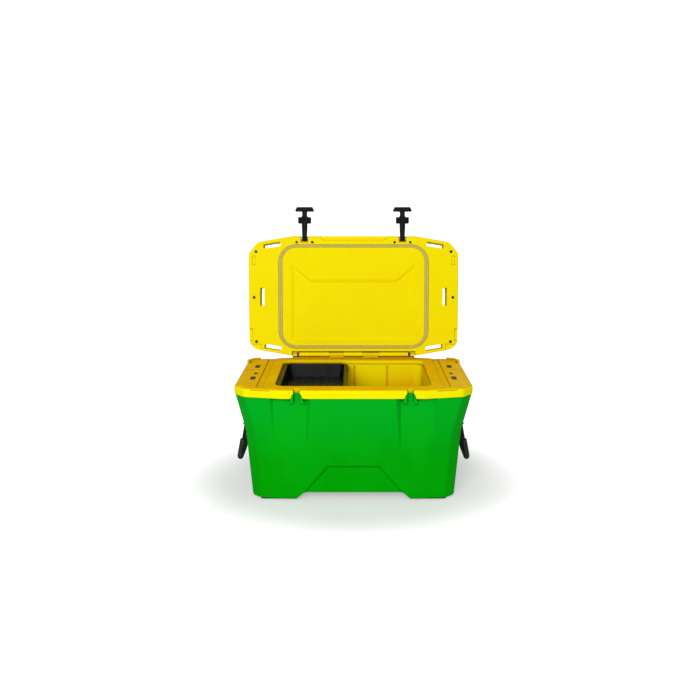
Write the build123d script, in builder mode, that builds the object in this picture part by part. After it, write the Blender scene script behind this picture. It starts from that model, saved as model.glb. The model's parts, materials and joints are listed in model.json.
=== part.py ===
from build123d import *
import os
from math import atan2, cos, hypot, sin

os.makedirs("parts", exist_ok=True)

# ---------------------------------------------------------------- driving dimensions (mm, degrees)
# The frame: X to the user's right, -Y towards the user, +Z up, origin on the floor under the middle.
WIDTH = 700.0  # rim and lid, side to side
DEPTH = 400.0  # rim and lid, front to rear
RIM_TOP = 350.0  # height of the deck the lid closes on
RIM_BAND = 25.5  # height of the rim that shows above the tub
LID_GAP = 2.0  # slot between deck and closed lid
LID_HEIGHT = 58.0  # closed lid, underside to top
LID_OPEN = 100.0  # how far the lid stands open in the modelled pose
WALL = 4.0  # moulded skin thickness
FIT = 0.4  # between the foam and the skins around it
RUN = 0.06  # radial clearance of a turning fit
FOOT_HEIGHT = 4.0  # rubber pad under the tub

HALF_WIDTH = WIDTH / 2
HALF_DEPTH = DEPTH / 2
RIM_BOTTOM = RIM_TOP - RIM_BAND

# Plan outline shared by tub, rim and lid: a straight front, long slants and blunt corners
STRAIGHT = 205.0  # half length of the straight front and rear edges
SLANT_X = 32.0  # where a slant ends, in from the side
SLANT_Y = 20.0  # how far a slant falls back
CORNER_Y = 56.0  # where a side begins, back from the front
OUTLINE_RADIUS = 22.0
REAR_RADIUS = 40.0  # the rear corners are plain round ones

# Tub levels: height, half width, half depth
BASE = (12.0, 305.0, 176.0)
KINK = (212.0, 320.0, 191.0)
SHOULDER = (RIM_BOTTOM, HALF_WIDTH - 1.5, HALF_DEPTH - 1.5)
BASE_ROUND = BASE[0] - FOOT_HEIGHT  # radius of the rounded bottom edge
KINK_BLEND = 20.0  # how far either side of the kink the bend runs
BEND_STEPS = 5
EDGE_ROUND = 5.0  # rounded outer edges of the lid
RIM_ROUND = 7.0  # rounded outer edge of the deck
BASE_BLUNT = 0.3  # how much of the blunt corners is left at the base
ARCH_TOP = 24.0  # height of the passage between the legs

# Opening and store inside
OPENING = (231.0, 152.0)  # half width, half depth at the deck
LEDGE = 5.0  # ledge that the tray hangs on
LEDGE_Z = RIM_TOP - 12.0
STORE_FLOOR = 60.0
STORE_DRAFT = 9.0  # how far the walls close in by the floor
OPENING_RADIUS = 26.0
GROOVES_X = (-112.0, 3.0, 112.0)  # divider grooves
GROOVE_WIDTH = 7.0
GROOVE_DEPTH = 2.5

# Latches
LATCH_X = 163.0
PIVOT_Y = -191.0
PIVOT_Z = RIM_TOP + 10.0
LATCH_NECK = 52.0  # pivot to shoulder
LATCH_SHOULDER = 19.0
LATCH_REACH = 106.5  # pivot to the end of the T grip
KEEPER_BOTTOM = PIVOT_Z - LATCH_NECK + 2.5
KEEPER_TOP = RIM_BOTTOM + 13.0
KEEPER_WIDE = 44.0
KEEPER_NARROW = 24.0
STEM_GROOVE = 20.0
GROOVE_BACK_Y = -183.0  # how deep the stem groove and the recess go
RECESS_IN_X = 123.0
RECESS_OUT_X = 247.0
RECESS_FADE_Z = 170.0
RECESS_INSET = 14.0  # the back of the recess is narrower than its mouth
RECESS_FLARE = 1.0  # slope of its sides

# Hinge
HINGE_Y = HALF_DEPTH - 5.5
HINGE_Z = RIM_TOP + 12.0
HINGE_RADIUS = 8.0
ROD_RADIUS = 4.0
LID_KNUCKLES = ((-181.0, -82.0), (-32.0, 30.0), (84.0, 183.0))
TUB_KNUCKLES = ((-81.0, -33.0), (31.0, 83.0))
HINGE_SLOT = (207.0, 10.5)  # half length, half height of the slot in the lid

# Handles
HANDLE_ARM_Y = 50.0
HANDLE_PIVOT = (331.5, 206.0)  # X and Z of the right-hand pivot pin
HANDLE_GRIP = (355.0, 88.0)  # X and Z of the right-hand grip as it hangs
GRIP_RADIUS = 9.2
ROD_HALF = 4.5

# Lid fittings
GASKET = (251.0, 173.5, 1.5)  # half width, half depth, offset of its middle in Y
GASKET_SIDE = 14.0
GASKET_END = 10.0
GASKET_RADIUS = 60.0
LID_BOTTOM = RIM_TOP + LID_GAP
LID_SPLIT = LID_BOTTOM + 24.0
LID_TOP = LID_BOTTOM + LID_HEIGHT
PANEL = 4.5  # thickness of the lid's inner panel
LID_CORNER_SCREWS = [(-325, -148), (325, -148), (-325, 152), (325, 152), (-332, 4), (332, 4)]
SIDES = (-1, 1)

HINGE_AXIS = Axis((0, HINGE_Y, HINGE_Z), (1, 0, 0))


# ---------------------------------------------------------------- shared outlines and blocks
def plan_outline(half_width, half_depth, blunt=1.0):
    """The closed plan outline, centred, on the XY plane. Less blunt brings it nearer to a rectangle."""
    fall = SLANT_Y * blunt
    corner = fall + (CORNER_Y - SLANT_Y) * (1 + blunt) / 2
    rear_fall = fall * (half_width - STRAIGHT) / (half_width - SLANT_X - STRAIGHT)
    with BuildSketch(Plane.XY) as outline:
        with BuildLine():
            Polyline(
                (-STRAIGHT, -half_depth),
                (STRAIGHT, -half_depth),
                (half_width - SLANT_X, fall - half_depth),
                (half_width, corner - half_depth),
                (half_width, half_depth - rear_fall),
                (STRAIGHT, half_depth),
                (-STRAIGHT, half_depth),
                (-half_width, half_depth - rear_fall),
                (-half_width, corner - half_depth),
                (SLANT_X - half_width, fall - half_depth),
                close=True,
            )
        make_face()
        rear_corners = outline.vertices().filter_by(lambda v: v.Y > 0 and abs(v.X) > STRAIGHT + 1)
        fillet(rear_corners, radius=REAR_RADIUS)
        blunt_corners = outline.vertices().filter_by(lambda v: v.Y < 0 or abs(v.X) < STRAIGHT + 1)
        fillet(blunt_corners, radius=OUTLINE_RADIUS)
    return outline.sketch


def tub_levels():
    """Height, half width and half depth of the tub: straight draft, a soft bend, then the flare."""
    low, high = (mid_level(KINK, end, KINK_BLEND) for end in (BASE, SHOULDER))
    levels = [mid_level(BASE, KINK, FOOT_HEIGHT - BASE[0])]
    for step in range(BEND_STEPS + 1):
        t = step / BEND_STEPS
        bend = [(1 - t) ** 2 * a + 2 * t * (1 - t) * b + t**2 * c for a, b, c in zip(low, KINK, high)]
        levels.append(tuple(bend))
    return levels + [SHOULDER]


def mid_level(start, end, rise):
    """The level a given height away from start, on the straight line to end."""
    share = rise / abs(end[0] - start[0])
    return tuple(a + (b - a) * share for a, b in zip(start, end))


def tub_block(inset):
    """The filled tub, drawn inset from its outer face, with a rounded bottom edge."""
    floor = FOOT_HEIGHT + inset
    with BuildPart() as block:
        for height, half_width, half_depth in tub_levels():
            blunt = BASE_BLUNT + (1 - BASE_BLUNT) * (height - FOOT_HEIGHT) / (RIM_BOTTOM - FOOT_HEIGHT)
            with BuildSketch(Plane.XY.offset(max(height, floor))):
                add(plan_outline(half_width - inset, half_depth - inset, blunt))
        loft(ruled=True)
        fillet(block.edges().group_by(Axis.Z)[0], radius=BASE_ROUND - inset)
    return block.part


def rim_block(inset, low, high):
    """The filled rim between two heights, drawn inset from its outer face."""
    with BuildPart() as block:
        with BuildSketch(Plane.XY.offset(low)):
            add(plan_outline(HALF_WIDTH - inset, HALF_DEPTH - inset))
        extrude(amount=high - low)
    return block.part


def store_block(outset, low, high):
    """The store's tapered well with its ledge, drawn outset from its inner face."""
    fall = (LEDGE_Z - low) / (LEDGE_Z - STORE_FLOOR)
    top = (OPENING[0] - LEDGE + outset, OPENING[1] - LEDGE + outset)
    floor = (top[0] - STORE_DRAFT * fall, top[1] - STORE_DRAFT * fall)
    with BuildPart() as block:
        with BuildSketch(Plane.XY.offset(low)):
            RectangleRounded(2 * floor[0], 2 * floor[1], OPENING_RADIUS)
        with BuildSketch(Plane.XY.offset(LEDGE_Z)):
            RectangleRounded(2 * top[0], 2 * top[1], OPENING_RADIUS)
        loft(ruled=True)
        with BuildSketch(Plane.XY.offset(LEDGE_Z - outset)):
            RectangleRounded(2 * (OPENING[0] + outset), 2 * (OPENING[1] + outset), OPENING_RADIUS + LEDGE)
        extrude(amount=high - LEDGE_Z + outset)
    return block.part


def wall_at(height, column):
    """Half width (column 1) or half depth (column 2) of the tub at a height."""
    levels = tub_levels()
    for low, high in zip(levels, levels[1:]):
        if height <= high[0]:
            break
    return low[column] + (high[column] - low[column]) * (height - low[0]) / (high[0] - low[0])


def wall_x(height):
    """Half width of the tub's side at a height."""
    return wall_at(height, 1)


def wall_y(height):
    """Half depth of the tub's front at a height."""
    return wall_at(height, 2)


def latch_recess(grow, side):
    """The recess that the latch lies in when closed: sloping sides, and a back that fades out downwards."""
    fade_z = RECESS_FADE_Z - 5 * grow
    front_y = -HALF_DEPTH - 20
    low_x, high_x = sorted((side * RECESS_IN_X, side * RECESS_OUT_X))
    with BuildPart() as recess:
        for height, back_y in (
            (fade_z, -wall_y(fade_z)),
            (KEEPER_BOTTOM - 8, GROOVE_BACK_Y + grow),
            (RIM_BOTTOM + 1, GROOVE_BACK_Y + grow),
        ):
            spread = RECESS_FLARE * (back_y - front_y) - RECESS_INSET
            narrow = RECESS_INSET - RECESS_FLARE * grow
            with BuildSketch(Plane.XY.offset(height)):
                with BuildLine():
                    Polyline(
                        (low_x + narrow, back_y),
                        (low_x - spread, front_y),
                        (high_x + spread, front_y),
                        (high_x - narrow, back_y),
                        close=True,
                    )
                make_face()
        loft(ruled=True)
    return recess.part


def arch_tunnel(grow):
    """The passage between the legs, front to rear, grown by a wall thickness."""
    with BuildPart() as tunnel:
        with BuildSketch(Plane.XZ.offset(-HALF_DEPTH)):
            with BuildLine():
                Polyline(
                    (-176, -5),
                    (-168, ARCH_TOP / 3),
                    (-150, ARCH_TOP),
                    (150, ARCH_TOP),
                    (168, ARCH_TOP / 3),
                    (176, -5),
                    close=True,
                )
            make_face()
            if grow:
                offset(amount=grow, kind=Kind.INTERSECTION)
        extrude(amount=DEPTH)
    return tunnel.part


def apron_panel(grow):
    """The sunk trapezoid over the arch, with sloping borders, cut into the front face."""
    lean = atan2(KINK[2] - BASE[2], KINK[0] - BASE[0])
    out = (0, -cos(lean), -sin(lean))
    face = Plane(origin=(0, -wall_y(ARCH_TOP), ARCH_TOP), x_dir=(1, 0, 0), z_dir=out)
    border = 9.0
    with BuildPart() as panel:
        for rise, trim in ((border / 2, -border / 2), (-border + 1 - grow, border - 1)):
            with BuildSketch(face.offset(rise)):
                with BuildLine():
                    Polyline(
                        (-165 + trim - grow, -20),
                        (-150 + trim - grow, 0),
                        (-80 + trim - grow, 90 - trim + grow),
                        (80 - trim + grow, 90 - trim + grow),
                        (150 - trim + grow, 0),
                        (165 - trim + grow, -20),
                        close=True,
                    )
                make_face()
        loft(ruled=True)
    return panel.part


def keeper_block(side):
    """The flared block that the latch hooks under, before its stem groove is cut."""
    x = side * LATCH_X
    with BuildPart() as keeper:
        with BuildSketch(Plane.XZ.offset(-GROOVE_BACK_Y - 2)):
            with BuildLine():
                Polyline(
                    (x - KEEPER_WIDE / 2, KEEPER_BOTTOM),
                    (x + KEEPER_WIDE / 2, KEEPER_BOTTOM),
                    (x + KEEPER_WIDE / 2 - 5, RIM_BOTTOM - 1),
                    (x + KEEPER_NARROW / 2, KEEPER_TOP),
                    (x - KEEPER_NARROW / 2, KEEPER_TOP),
                    (x - KEEPER_WIDE / 2 + 5, RIM_BOTTOM - 1),
                    close=True,
                )
            make_face()
        extrude(amount=HALF_DEPTH + GROOVE_BACK_Y + 1)
    return keeper.part


# ---------------------------------------------------------------- tub: places that several pieces share
FOOT_SPOTS = [(x, y) for x in (-236, 236) for y in (-138, 138)]
FOOT_SIZE = (86.0, 46.0)
BOSS_RADIUS = 7.0
BOSS_TOP = 24.0
DRAIN_Y = 95.0
DRAIN_Z = 76.0
DRAIN_FACE = 297.0  # floor of the round pocket the drain plug sits in
DRAIN_POCKET = 24.0
BUSH_RADIUS = 12.0
BORE_RADIUS = 9.0
BRACKET_SCREW_Z = 196.0
BRACKET_SCREWS = [(y, BRACKET_SCREW_Z) for y in (-74, 0, 74)]
BRACKET_BOSS = 14.0
LINER_WALL = 5.0


def drain_pocket(grow):
    """The round pocket in the right-hand end, grown by a wall thickness."""
    with BuildPart() as pocket:
        with BuildSketch(Plane.YZ.offset(DRAIN_FACE - grow)):
            with Locations((DRAIN_Y, DRAIN_Z)):
                Circle(DRAIN_POCKET + grow)
        extrude(amount=40)
    return pocket.part


def tub_bosses(grow):
    """Screw bosses inside the tub: four over the feet, three behind each handle bracket."""
    with BuildPart() as bosses:
        with BuildSketch(Plane.XY.offset(FOOT_HEIGHT + 1)):
            with Locations(*FOOT_SPOTS):
                Circle(BOSS_RADIUS + grow)
        extrude(amount=BOSS_TOP - FOOT_HEIGHT - 1 + grow)
        for side in SIDES:
            boss_end = wall_x(BRACKET_SCREW_Z) - WALL - BRACKET_BOSS - grow
            with BuildSketch(Plane.YZ.offset(side * boss_end)):
                with Locations(*BRACKET_SCREWS):
                    Circle(BOSS_RADIUS + grow)
            extrude(amount=side * (BRACKET_BOSS + WALL / 2 + grow))
    return bosses.part


def rear_of(front_part):
    """The same feature on the rear face."""
    return mirror(front_part, Plane.XZ, mode=Mode.PRIVATE)


def tub_hollow(grow):
    """Everything between the tub's skin and the store: the skin's inside less what stands in it."""
    front_panel = apron_panel(WALL + grow)
    obstacles = [latch_recess(WALL + grow, side) for side in SIDES]
    obstacles += [arch_tunnel(WALL + grow), front_panel, rear_of(front_panel)]
    obstacles += [drain_pocket(WALL + grow), tub_bosses(grow)]
    block = tub_block(WALL + grow)
    with BuildPart() as hollow:
        add(block)
        for obstacle in obstacles:
            add(obstacle, mode=Mode.SUBTRACT)
    return hollow.part


# ---------------------------------------------------------------- green outer shell
stem_grooves = [(side * LATCH_X, (GROOVE_BACK_Y - HALF_DEPTH - 1) / 2) for side in SIDES]
shell_front_panel = apron_panel(0)
shell_cuts = [latch_recess(0, side) for side in SIDES]
shell_cuts += [arch_tunnel(0), shell_front_panel, rear_of(shell_front_panel), drain_pocket(0)]
shell_block = tub_block(0)
shell_hollow = tub_hollow(0)
keepers = [keeper_block(side) for side in SIDES]

with BuildPart() as outer_shell:
    add(shell_block)
    for cut in shell_cuts:
        add(cut, mode=Mode.SUBTRACT)
    add(shell_hollow, mode=Mode.SUBTRACT)
    for keeper in keepers:
        add(keeper)
    with BuildSketch(Plane.XY.offset(KEEPER_BOTTOM - 1)):
        with Locations(*stem_grooves):
            Rectangle(STEM_GROOVE, HALF_DEPTH + GROOVE_BACK_Y + 1)
    extrude(amount=KEEPER_TOP - KEEPER_BOTTOM + 2, mode=Mode.SUBTRACT)
    with BuildSketch(Plane.XY.offset(FOOT_HEIGHT - 1)):
        with Locations(*FOOT_SPOTS):
            Circle(2.3)
    extrude(amount=BOSS_TOP - FOOT_HEIGHT - 2, mode=Mode.SUBTRACT)
    for side in SIDES:
        with BuildSketch(Plane.YZ.offset(side * (wall_x(BRACKET_SCREW_Z) - WALL - BRACKET_BOSS + 2))):
            with Locations(*BRACKET_SCREWS):
                Circle(2.3)
        extrude(amount=side * (BRACKET_BOSS + 12), mode=Mode.SUBTRACT)
    with BuildSketch(Plane.YZ.offset(DRAIN_FACE - WALL - 1)):
        with Locations((DRAIN_Y, DRAIN_Z)):
            Circle(BUSH_RADIUS + 0.2)
    extrude(amount=WALL + 2, mode=Mode.SUBTRACT)
outer_shell.part.label = "outer_shell"
export_step(outer_shell.part, "parts/outer_shell.step")

# ---------------------------------------------------------------- yellow liner: rim, deck and store in one
RIM_CEILING = RIM_TOP - WALL
CHANNEL_X = 272.0
CHANNEL_WIDTH = 22.0
CHANNEL_DEPTH = 3.0
NOTCH_BACK_Y = GROOVE_BACK_Y + 2 + FIT
DECK_PLUGS = [(-307.5, 75), (307.5, 75), (-304.5, -66), (304.5, -66)]
DECK_PLUG = (15.5, 38.0, 6.0)  # width, length, corner radius
DECK_VENTS = [(-302, -11), (302, -11)]
DECK_VENT = (11.5, 21.0, 4.5)
PLUG_POCKET = 10.0
PLUG_FIT = 0.1
CURB_X = (338.5, 348.0)
CURB_Y = (112.0, 146.0)
CURB_HEIGHT = 7.0
HUMP_X = (311.0, 342.0)
HUMP_Y = (161.5, 190.0)
HUMP_HEIGHT = 4.5
HUMP_GAP = 3.0  # room for the humps under the closed lid
HINGE_RIDGE = 205.5  # half length of the ridge that closes the gap under the hinge
CORNER_SLOT = (269.0, -188.6)
CORNER_SLOT_SIZE = (58.0, 4.0, 2.0)
CORNER_SLOT_DROP = 5.0
SLANT_TILT = 10.0  # the slanted edges' angle in plan
PLUG_HEIGHT = 8.0
PLUG_SUNK = 0.4
VENT_SUNK = 0.8


def deck_slots(size, spots, grow):
    """Rounded slots in the deck, grown all round. Used inside a sketch."""
    with BuildSketch(Plane.XY) as slots:
        with Locations(*spots):
            RectangleRounded(size[0] + 2 * grow, size[1] + 2 * grow, size[2] + grow)
    return slots.sketch


def rim_hollow(grow):
    """The inside of the rim, from the tub's edge up to the deck's underside."""
    block = rim_block(WALL + grow, RIM_BOTTOM, RIM_CEILING - grow)
    with BuildPart() as hollow:
        add(block)
        with BuildSketch(Plane.XY.offset(RIM_BOTTOM - 2)):
            with Locations(*[(side * LATCH_X, -HALF_DEPTH) for side in SIDES]):
                Rectangle(KEEPER_WIDE + 2 * WALL + 2 * grow, 2 * (HALF_DEPTH + NOTCH_BACK_Y + WALL + grow))
        extrude(amount=RIM_BAND, mode=Mode.SUBTRACT)
        with BuildSketch(Plane.XY.offset(RIM_CEILING - PLUG_POCKET - grow)):
            add(deck_slots(DECK_PLUG, DECK_PLUGS, WALL + grow))
            add(deck_slots(DECK_VENT, DECK_VENTS, WALL + grow))
        extrude(amount=PLUG_POCKET + 5, mode=Mode.SUBTRACT)
    return hollow.part


def divider_groove(x, side):
    """One shallow upright groove in a long wall of the store, following the wall's draft."""
    with BuildPart() as groove:
        for height, pull in ((STORE_FLOOR + 4, STORE_DRAFT), (LEDGE_Z - 4, 0)):
            with BuildSketch(Plane.XY.offset(height)):
                with Locations((x, side * (OPENING[1] - LEDGE - pull))):
                    Rectangle(GROOVE_WIDTH, 2 * GROOVE_DEPTH)
        loft(ruled=True)
    return groove.part


liner_rim = rim_block(0, RIM_BOTTOM, RIM_TOP)
liner_tub = store_block(LINER_WALL, STORE_FLOOR - LINER_WALL, RIM_TOP - 1)
liner_hollow = rim_hollow(0)
liner_store = store_block(0, STORE_FLOOR, RIM_TOP + 1)
liner_grooves = [divider_groove(x, side) for x in GROOVES_X for side in SIDES]

hump_block = rim_block(1, RIM_TOP - 1, RIM_TOP + HUMP_HEIGHT)

with BuildPart() as rear_humps:
    add(hump_block)
    with BuildSketch(Plane.XY.offset(RIM_TOP - 1)):
        for side in SIDES:
            with Locations((side * (HUMP_X[0] + HUMP_X[1]) / 2, (HUMP_Y[0] + HUMP_Y[1]) / 2)):
                Rectangle(HUMP_X[1] - HUMP_X[0], HUMP_Y[1] - HUMP_Y[0])
    extrude(amount=HUMP_HEIGHT + 1, mode=Mode.INTERSECT)

with BuildPart() as inner_liner:
    add(liner_rim)
    fillet(inner_liner.edges().group_by(Axis.Z)[-1], radius=RIM_ROUND)
    add(liner_hollow, mode=Mode.SUBTRACT)
    add(liner_tub)
    add(liner_store, mode=Mode.SUBTRACT)
    fillet(inner_liner.faces().sort_by(Axis.Z)[-1].inner_wires().edges(), radius=EDGE_ROUND - 1)
    # notches that let the keepers stand up through the rim, and the stem groove above them
    with BuildSketch(Plane.XZ.offset(-NOTCH_BACK_Y)):
        for side in SIDES:
            x = side * LATCH_X
            with BuildLine():
                Polyline(
                    (x - KEEPER_WIDE / 2 + 4 - FIT, RIM_BOTTOM - 2),
                    (x + KEEPER_WIDE / 2 - 4 + FIT, RIM_BOTTOM - 2),
                    (x + KEEPER_NARROW / 2 + FIT, KEEPER_TOP + FIT),
                    (x - KEEPER_NARROW / 2 - FIT, KEEPER_TOP + FIT),
                    close=True,
                )
            make_face()
    extrude(amount=HALF_DEPTH, mode=Mode.SUBTRACT)
    with BuildSketch(Plane.XY.offset(KEEPER_TOP - 1)):
        with Locations(*[(side * LATCH_X, -HALF_DEPTH) for side in SIDES]):
            RectangleRounded(STEM_GROOVE, 2 * (HALF_DEPTH + GROOVE_BACK_Y), 4)
    extrude(amount=RIM_BAND, mode=Mode.SUBTRACT)
    # drain channels, part lines, plug pockets and vents on the deck
    with BuildSketch(Plane.XY.offset(RIM_TOP)):
        with Locations((-CHANNEL_X, 18), (CHANNEL_X, 18)):
            Rectangle(CHANNEL_WIDTH, DEPTH - 36)
    extrude(amount=-CHANNEL_DEPTH, mode=Mode.SUBTRACT)
    with BuildSketch(Plane.XY.offset(RIM_TOP)):
        with Locations((-325, 33), (325, 33)):
            Rectangle(66, 1.8)
    extrude(amount=-1.5, mode=Mode.SUBTRACT)
    with BuildSketch(Plane.XY.offset(RIM_TOP)):
        add(deck_slots(DECK_PLUG, DECK_PLUGS, PLUG_FIT))
        add(deck_slots(DECK_VENT, DECK_VENTS, PLUG_FIT))
    extrude(amount=-PLUG_POCKET, mode=Mode.SUBTRACT)
    # corner pads in front, curbs that centre the lid behind
    with BuildSketch(Plane.XY.offset(RIM_TOP)):
        with Locations((-324, -150), (324, -150)):
            Circle(9)
    extrude(amount=1.4, taper=30)
    with BuildSketch(Plane.XY.offset(RIM_TOP - 3)):
        for side in SIDES:
            with Locations((side * (CURB_X[0] + CURB_X[1]) / 2, (CURB_Y[0] + CURB_Y[1]) / 2)):
                RectangleRounded(CURB_X[1] - CURB_X[0], CURB_Y[1] - CURB_Y[0], 4)
    extrude(amount=CURB_HEIGHT + 3)
    add(rear_humps.part)
    # shallow slots in the slanted front corners, just under the deck's edge
    with BuildSketch(Plane.XY.offset(RIM_TOP - CORNER_SLOT_DROP)):
        for side in SIDES:
            with Locations((side * CORNER_SLOT[0], CORNER_SLOT[1])):
                Rectangle(CORNER_SLOT_SIZE[0], CORNER_SLOT_SIZE[1], rotation=side * SLANT_TILT)
    extrude(amount=CORNER_SLOT_SIZE[2], mode=Mode.SUBTRACT)
    # ridge under the hinge
    with BuildSketch(Plane.YZ.offset(-HINGE_RIDGE)):
        with BuildLine():
            Polyline(
                (HINGE_Y - 8, RIM_TOP - 3),
                (HINGE_Y - 8, RIM_TOP + 3.3),
                (HINGE_Y, RIM_TOP + 3.3),
                (HALF_DEPTH - 0.5, RIM_TOP + 5),
                (HALF_DEPTH - 0.5, RIM_TOP - 7),
                (HALF_DEPTH - WALL, RIM_TOP - 7),
                (HALF_DEPTH - WALL, RIM_TOP - 3),
                close=True,
            )
        make_face()
    extrude(amount=2 * HINGE_RIDGE)
    for groove in liner_grooves:
        add(groove, mode=Mode.SUBTRACT)
    # drain bore through the right-hand wall
    with BuildSketch(Plane.YZ.offset(OPENING[0] - LEDGE - STORE_DRAFT - 5)):
        with Locations((DRAIN_Y, DRAIN_Z)):
            Circle(BUSH_RADIUS + 0.2)
    extrude(amount=LINER_WALL + STORE_DRAFT + 5, mode=Mode.SUBTRACT)
    # hinge knuckles along the rear edge
    for start, end in TUB_KNUCKLES:
        with BuildSketch(Plane.YZ.offset(start)):
            with Locations((HINGE_Y, HINGE_Z)):
                Circle(HINGE_RADIUS)
            with Locations((HINGE_Y, (RIM_TOP - 3 + HINGE_Z) / 2)):
                Rectangle(2 * HINGE_RADIUS, HINGE_Z - RIM_TOP + 3)
        extrude(amount=end - start)
    with BuildSketch(Plane.YZ.offset(TUB_KNUCKLES[0][0] - 1)):
        with Locations((HINGE_Y, HINGE_Z)):
            Circle(ROD_RADIUS + RUN)
    extrude(amount=TUB_KNUCKLES[1][1] - TUB_KNUCKLES[0][0] + 2, mode=Mode.SUBTRACT)
inner_liner.part.label = "inner_liner"
export_step(inner_liner.part, "parts/inner_liner.step")

# ---------------------------------------------------------------- foam between shell and liner
foam_lower = tub_hollow(FIT)
foam_upper = rim_hollow(FIT)
foam_well = store_block(LINER_WALL + FIT, STORE_FLOOR - LINER_WALL - FIT, RIM_TOP + 1)

with BuildPart() as body_foam:
    add(foam_lower)
    add(foam_upper)
    add(foam_well, mode=Mode.SUBTRACT)
    with BuildSketch(Plane.YZ.offset(OPENING[0] - LEDGE - STORE_DRAFT)):
        with Locations((DRAIN_Y, DRAIN_Z)):
            Circle(BUSH_RADIUS + FIT)
    extrude(amount=DRAIN_FACE - OPENING[0] + 20, mode=Mode.SUBTRACT)
body_foam.part.label = "body_foam"
export_step(body_foam.part, "parts/body_foam.step")

# ---------------------------------------------------------------- feet
with BuildPart() as rubber_feet:
    with BuildSketch(Plane.XY):
        with Locations(*FOOT_SPOTS):
            RectangleRounded(*FOOT_SIZE, 8)
    extrude(amount=FOOT_HEIGHT - 0.05)
    chamfer(rubber_feet.faces().sort_by(Axis.Z)[:4].edges(), length=0.8)
    with BuildSketch(Plane.XY):
        with Locations(*FOOT_SPOTS):
            Circle(6)
    extrude(amount=2.4, mode=Mode.SUBTRACT)
    with BuildSketch(Plane.XY):
        with Locations(*FOOT_SPOTS):
            Circle(2.4)
    extrude(amount=FOOT_HEIGHT, mode=Mode.SUBTRACT)
rubber_feet.part.label = "rubber_feet"
export_step(rubber_feet.part, "parts/rubber_feet.step")

with BuildPart() as foot_screws:
    with BuildSketch(Plane.XY.offset(0.6)):
        with Locations(*FOOT_SPOTS):
            Circle(5)
    extrude(amount=1.75)
    with BuildSketch(Plane.XY.offset(0.6)):
        with Locations(*FOOT_SPOTS):
            Circle(2.1)
    extrude(amount=18)
    with BuildSketch(Plane.XY.offset(0.6)):
        with Locations(*FOOT_SPOTS):
            RegularPolygon(2, 6)
    extrude(amount=1.2, mode=Mode.SUBTRACT)
foot_screws.part.label = "foot_screws"
export_step(foot_screws.part, "parts/foot_screws.step")

# ---------------------------------------------------------------- drain: bushing, washer, plug
FLANGE = 3.0
DRAIN_IN_X = OPENING[0] - LEDGE - STORE_DRAFT - 1
drain_axis = Plane(origin=(0, DRAIN_Y, DRAIN_Z), x_dir=(0, 1, 0), z_dir=(1, 0, 0))

with BuildPart() as drain_bushing:
    with BuildSketch(drain_axis.offset(DRAIN_IN_X)):
        Circle(BUSH_RADIUS)
    extrude(amount=DRAIN_FACE - DRAIN_IN_X)
    with BuildSketch(drain_axis.offset(DRAIN_FACE)):
        Circle(BUSH_RADIUS + 6)
    extrude(amount=FLANGE)
    with BuildSketch(drain_axis.offset(DRAIN_IN_X - 1)):
        Circle(BORE_RADIUS)
    extrude(amount=DRAIN_FACE, mode=Mode.SUBTRACT)
    fillet(drain_bushing.edges().filter_by(GeomType.CIRCLE).sort_by(Axis.X)[-2:], radius=0.6)
drain_bushing.part.label = "drain_bushing"
export_step(drain_bushing.part, "parts/drain_bushing.step")

with BuildPart() as drain_washer:
    with BuildSketch(drain_axis.offset(DRAIN_FACE + FLANGE + 0.05)):
        Circle(14)
        Circle(BORE_RADIUS + 0.3, mode=Mode.SUBTRACT)
    extrude(amount=1.6)
    fillet(drain_washer.edges(), radius=0.5)
drain_washer.part.label = "drain_washer"
export_step(drain_washer.part, "parts/drain_washer.step")

with BuildPart() as drain_plug:
    with BuildSketch(drain_axis.offset(DRAIN_FACE - 18)):
        Circle(BORE_RADIUS - RUN)
    extrude(amount=18 + FLANGE + 2)
    with BuildSketch(drain_axis.offset(DRAIN_FACE + FLANGE + 1.75)):
        Circle(15.5)
        with PolarLocations(15.5, 12):
            Circle(1.2, mode=Mode.SUBTRACT)
    extrude(amount=4)
    with BuildSketch(drain_axis.offset(DRAIN_FACE + FLANGE + 5)):
        SlotOverall(26, 7)
    extrude(amount=6)
    chamfer(drain_plug.faces().sort_by(Axis.X)[-1].edges(), length=0.8)
drain_plug.part.label = "drain_plug"
export_step(drain_plug.part, "parts/drain_plug.step")

# ---------------------------------------------------------------- deck plugs and vents
with BuildPart() as deck_plugs:
    with BuildSketch(Plane.XY.offset(RIM_TOP - PLUG_HEIGHT)):
        add(deck_slots(DECK_PLUG, DECK_PLUGS, 0))
    extrude(amount=PLUG_HEIGHT - PLUG_SUNK)
    chamfer(deck_plugs.faces().sort_by(Axis.Z)[-4:].edges(), length=0.5)
deck_plugs.part.label = "deck_plugs"
export_step(deck_plugs.part, "parts/deck_plugs.step")

with BuildPart() as vent_plugs:
    with BuildSketch(Plane.XY.offset(RIM_TOP - PLUG_HEIGHT)):
        add(deck_slots(DECK_VENT, DECK_VENTS, 0))
    extrude(amount=PLUG_HEIGHT - VENT_SUNK)
    with BuildSketch(Plane.XY.offset(RIM_TOP - VENT_SUNK)):
        with Locations(*DECK_VENTS):
            RectangleRounded(4, 12, 1.5)
    extrude(amount=-2, mode=Mode.SUBTRACT)
vent_plugs.part.label = "vent_plugs"
export_step(vent_plugs.part, "parts/vent_plugs.step")

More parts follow.
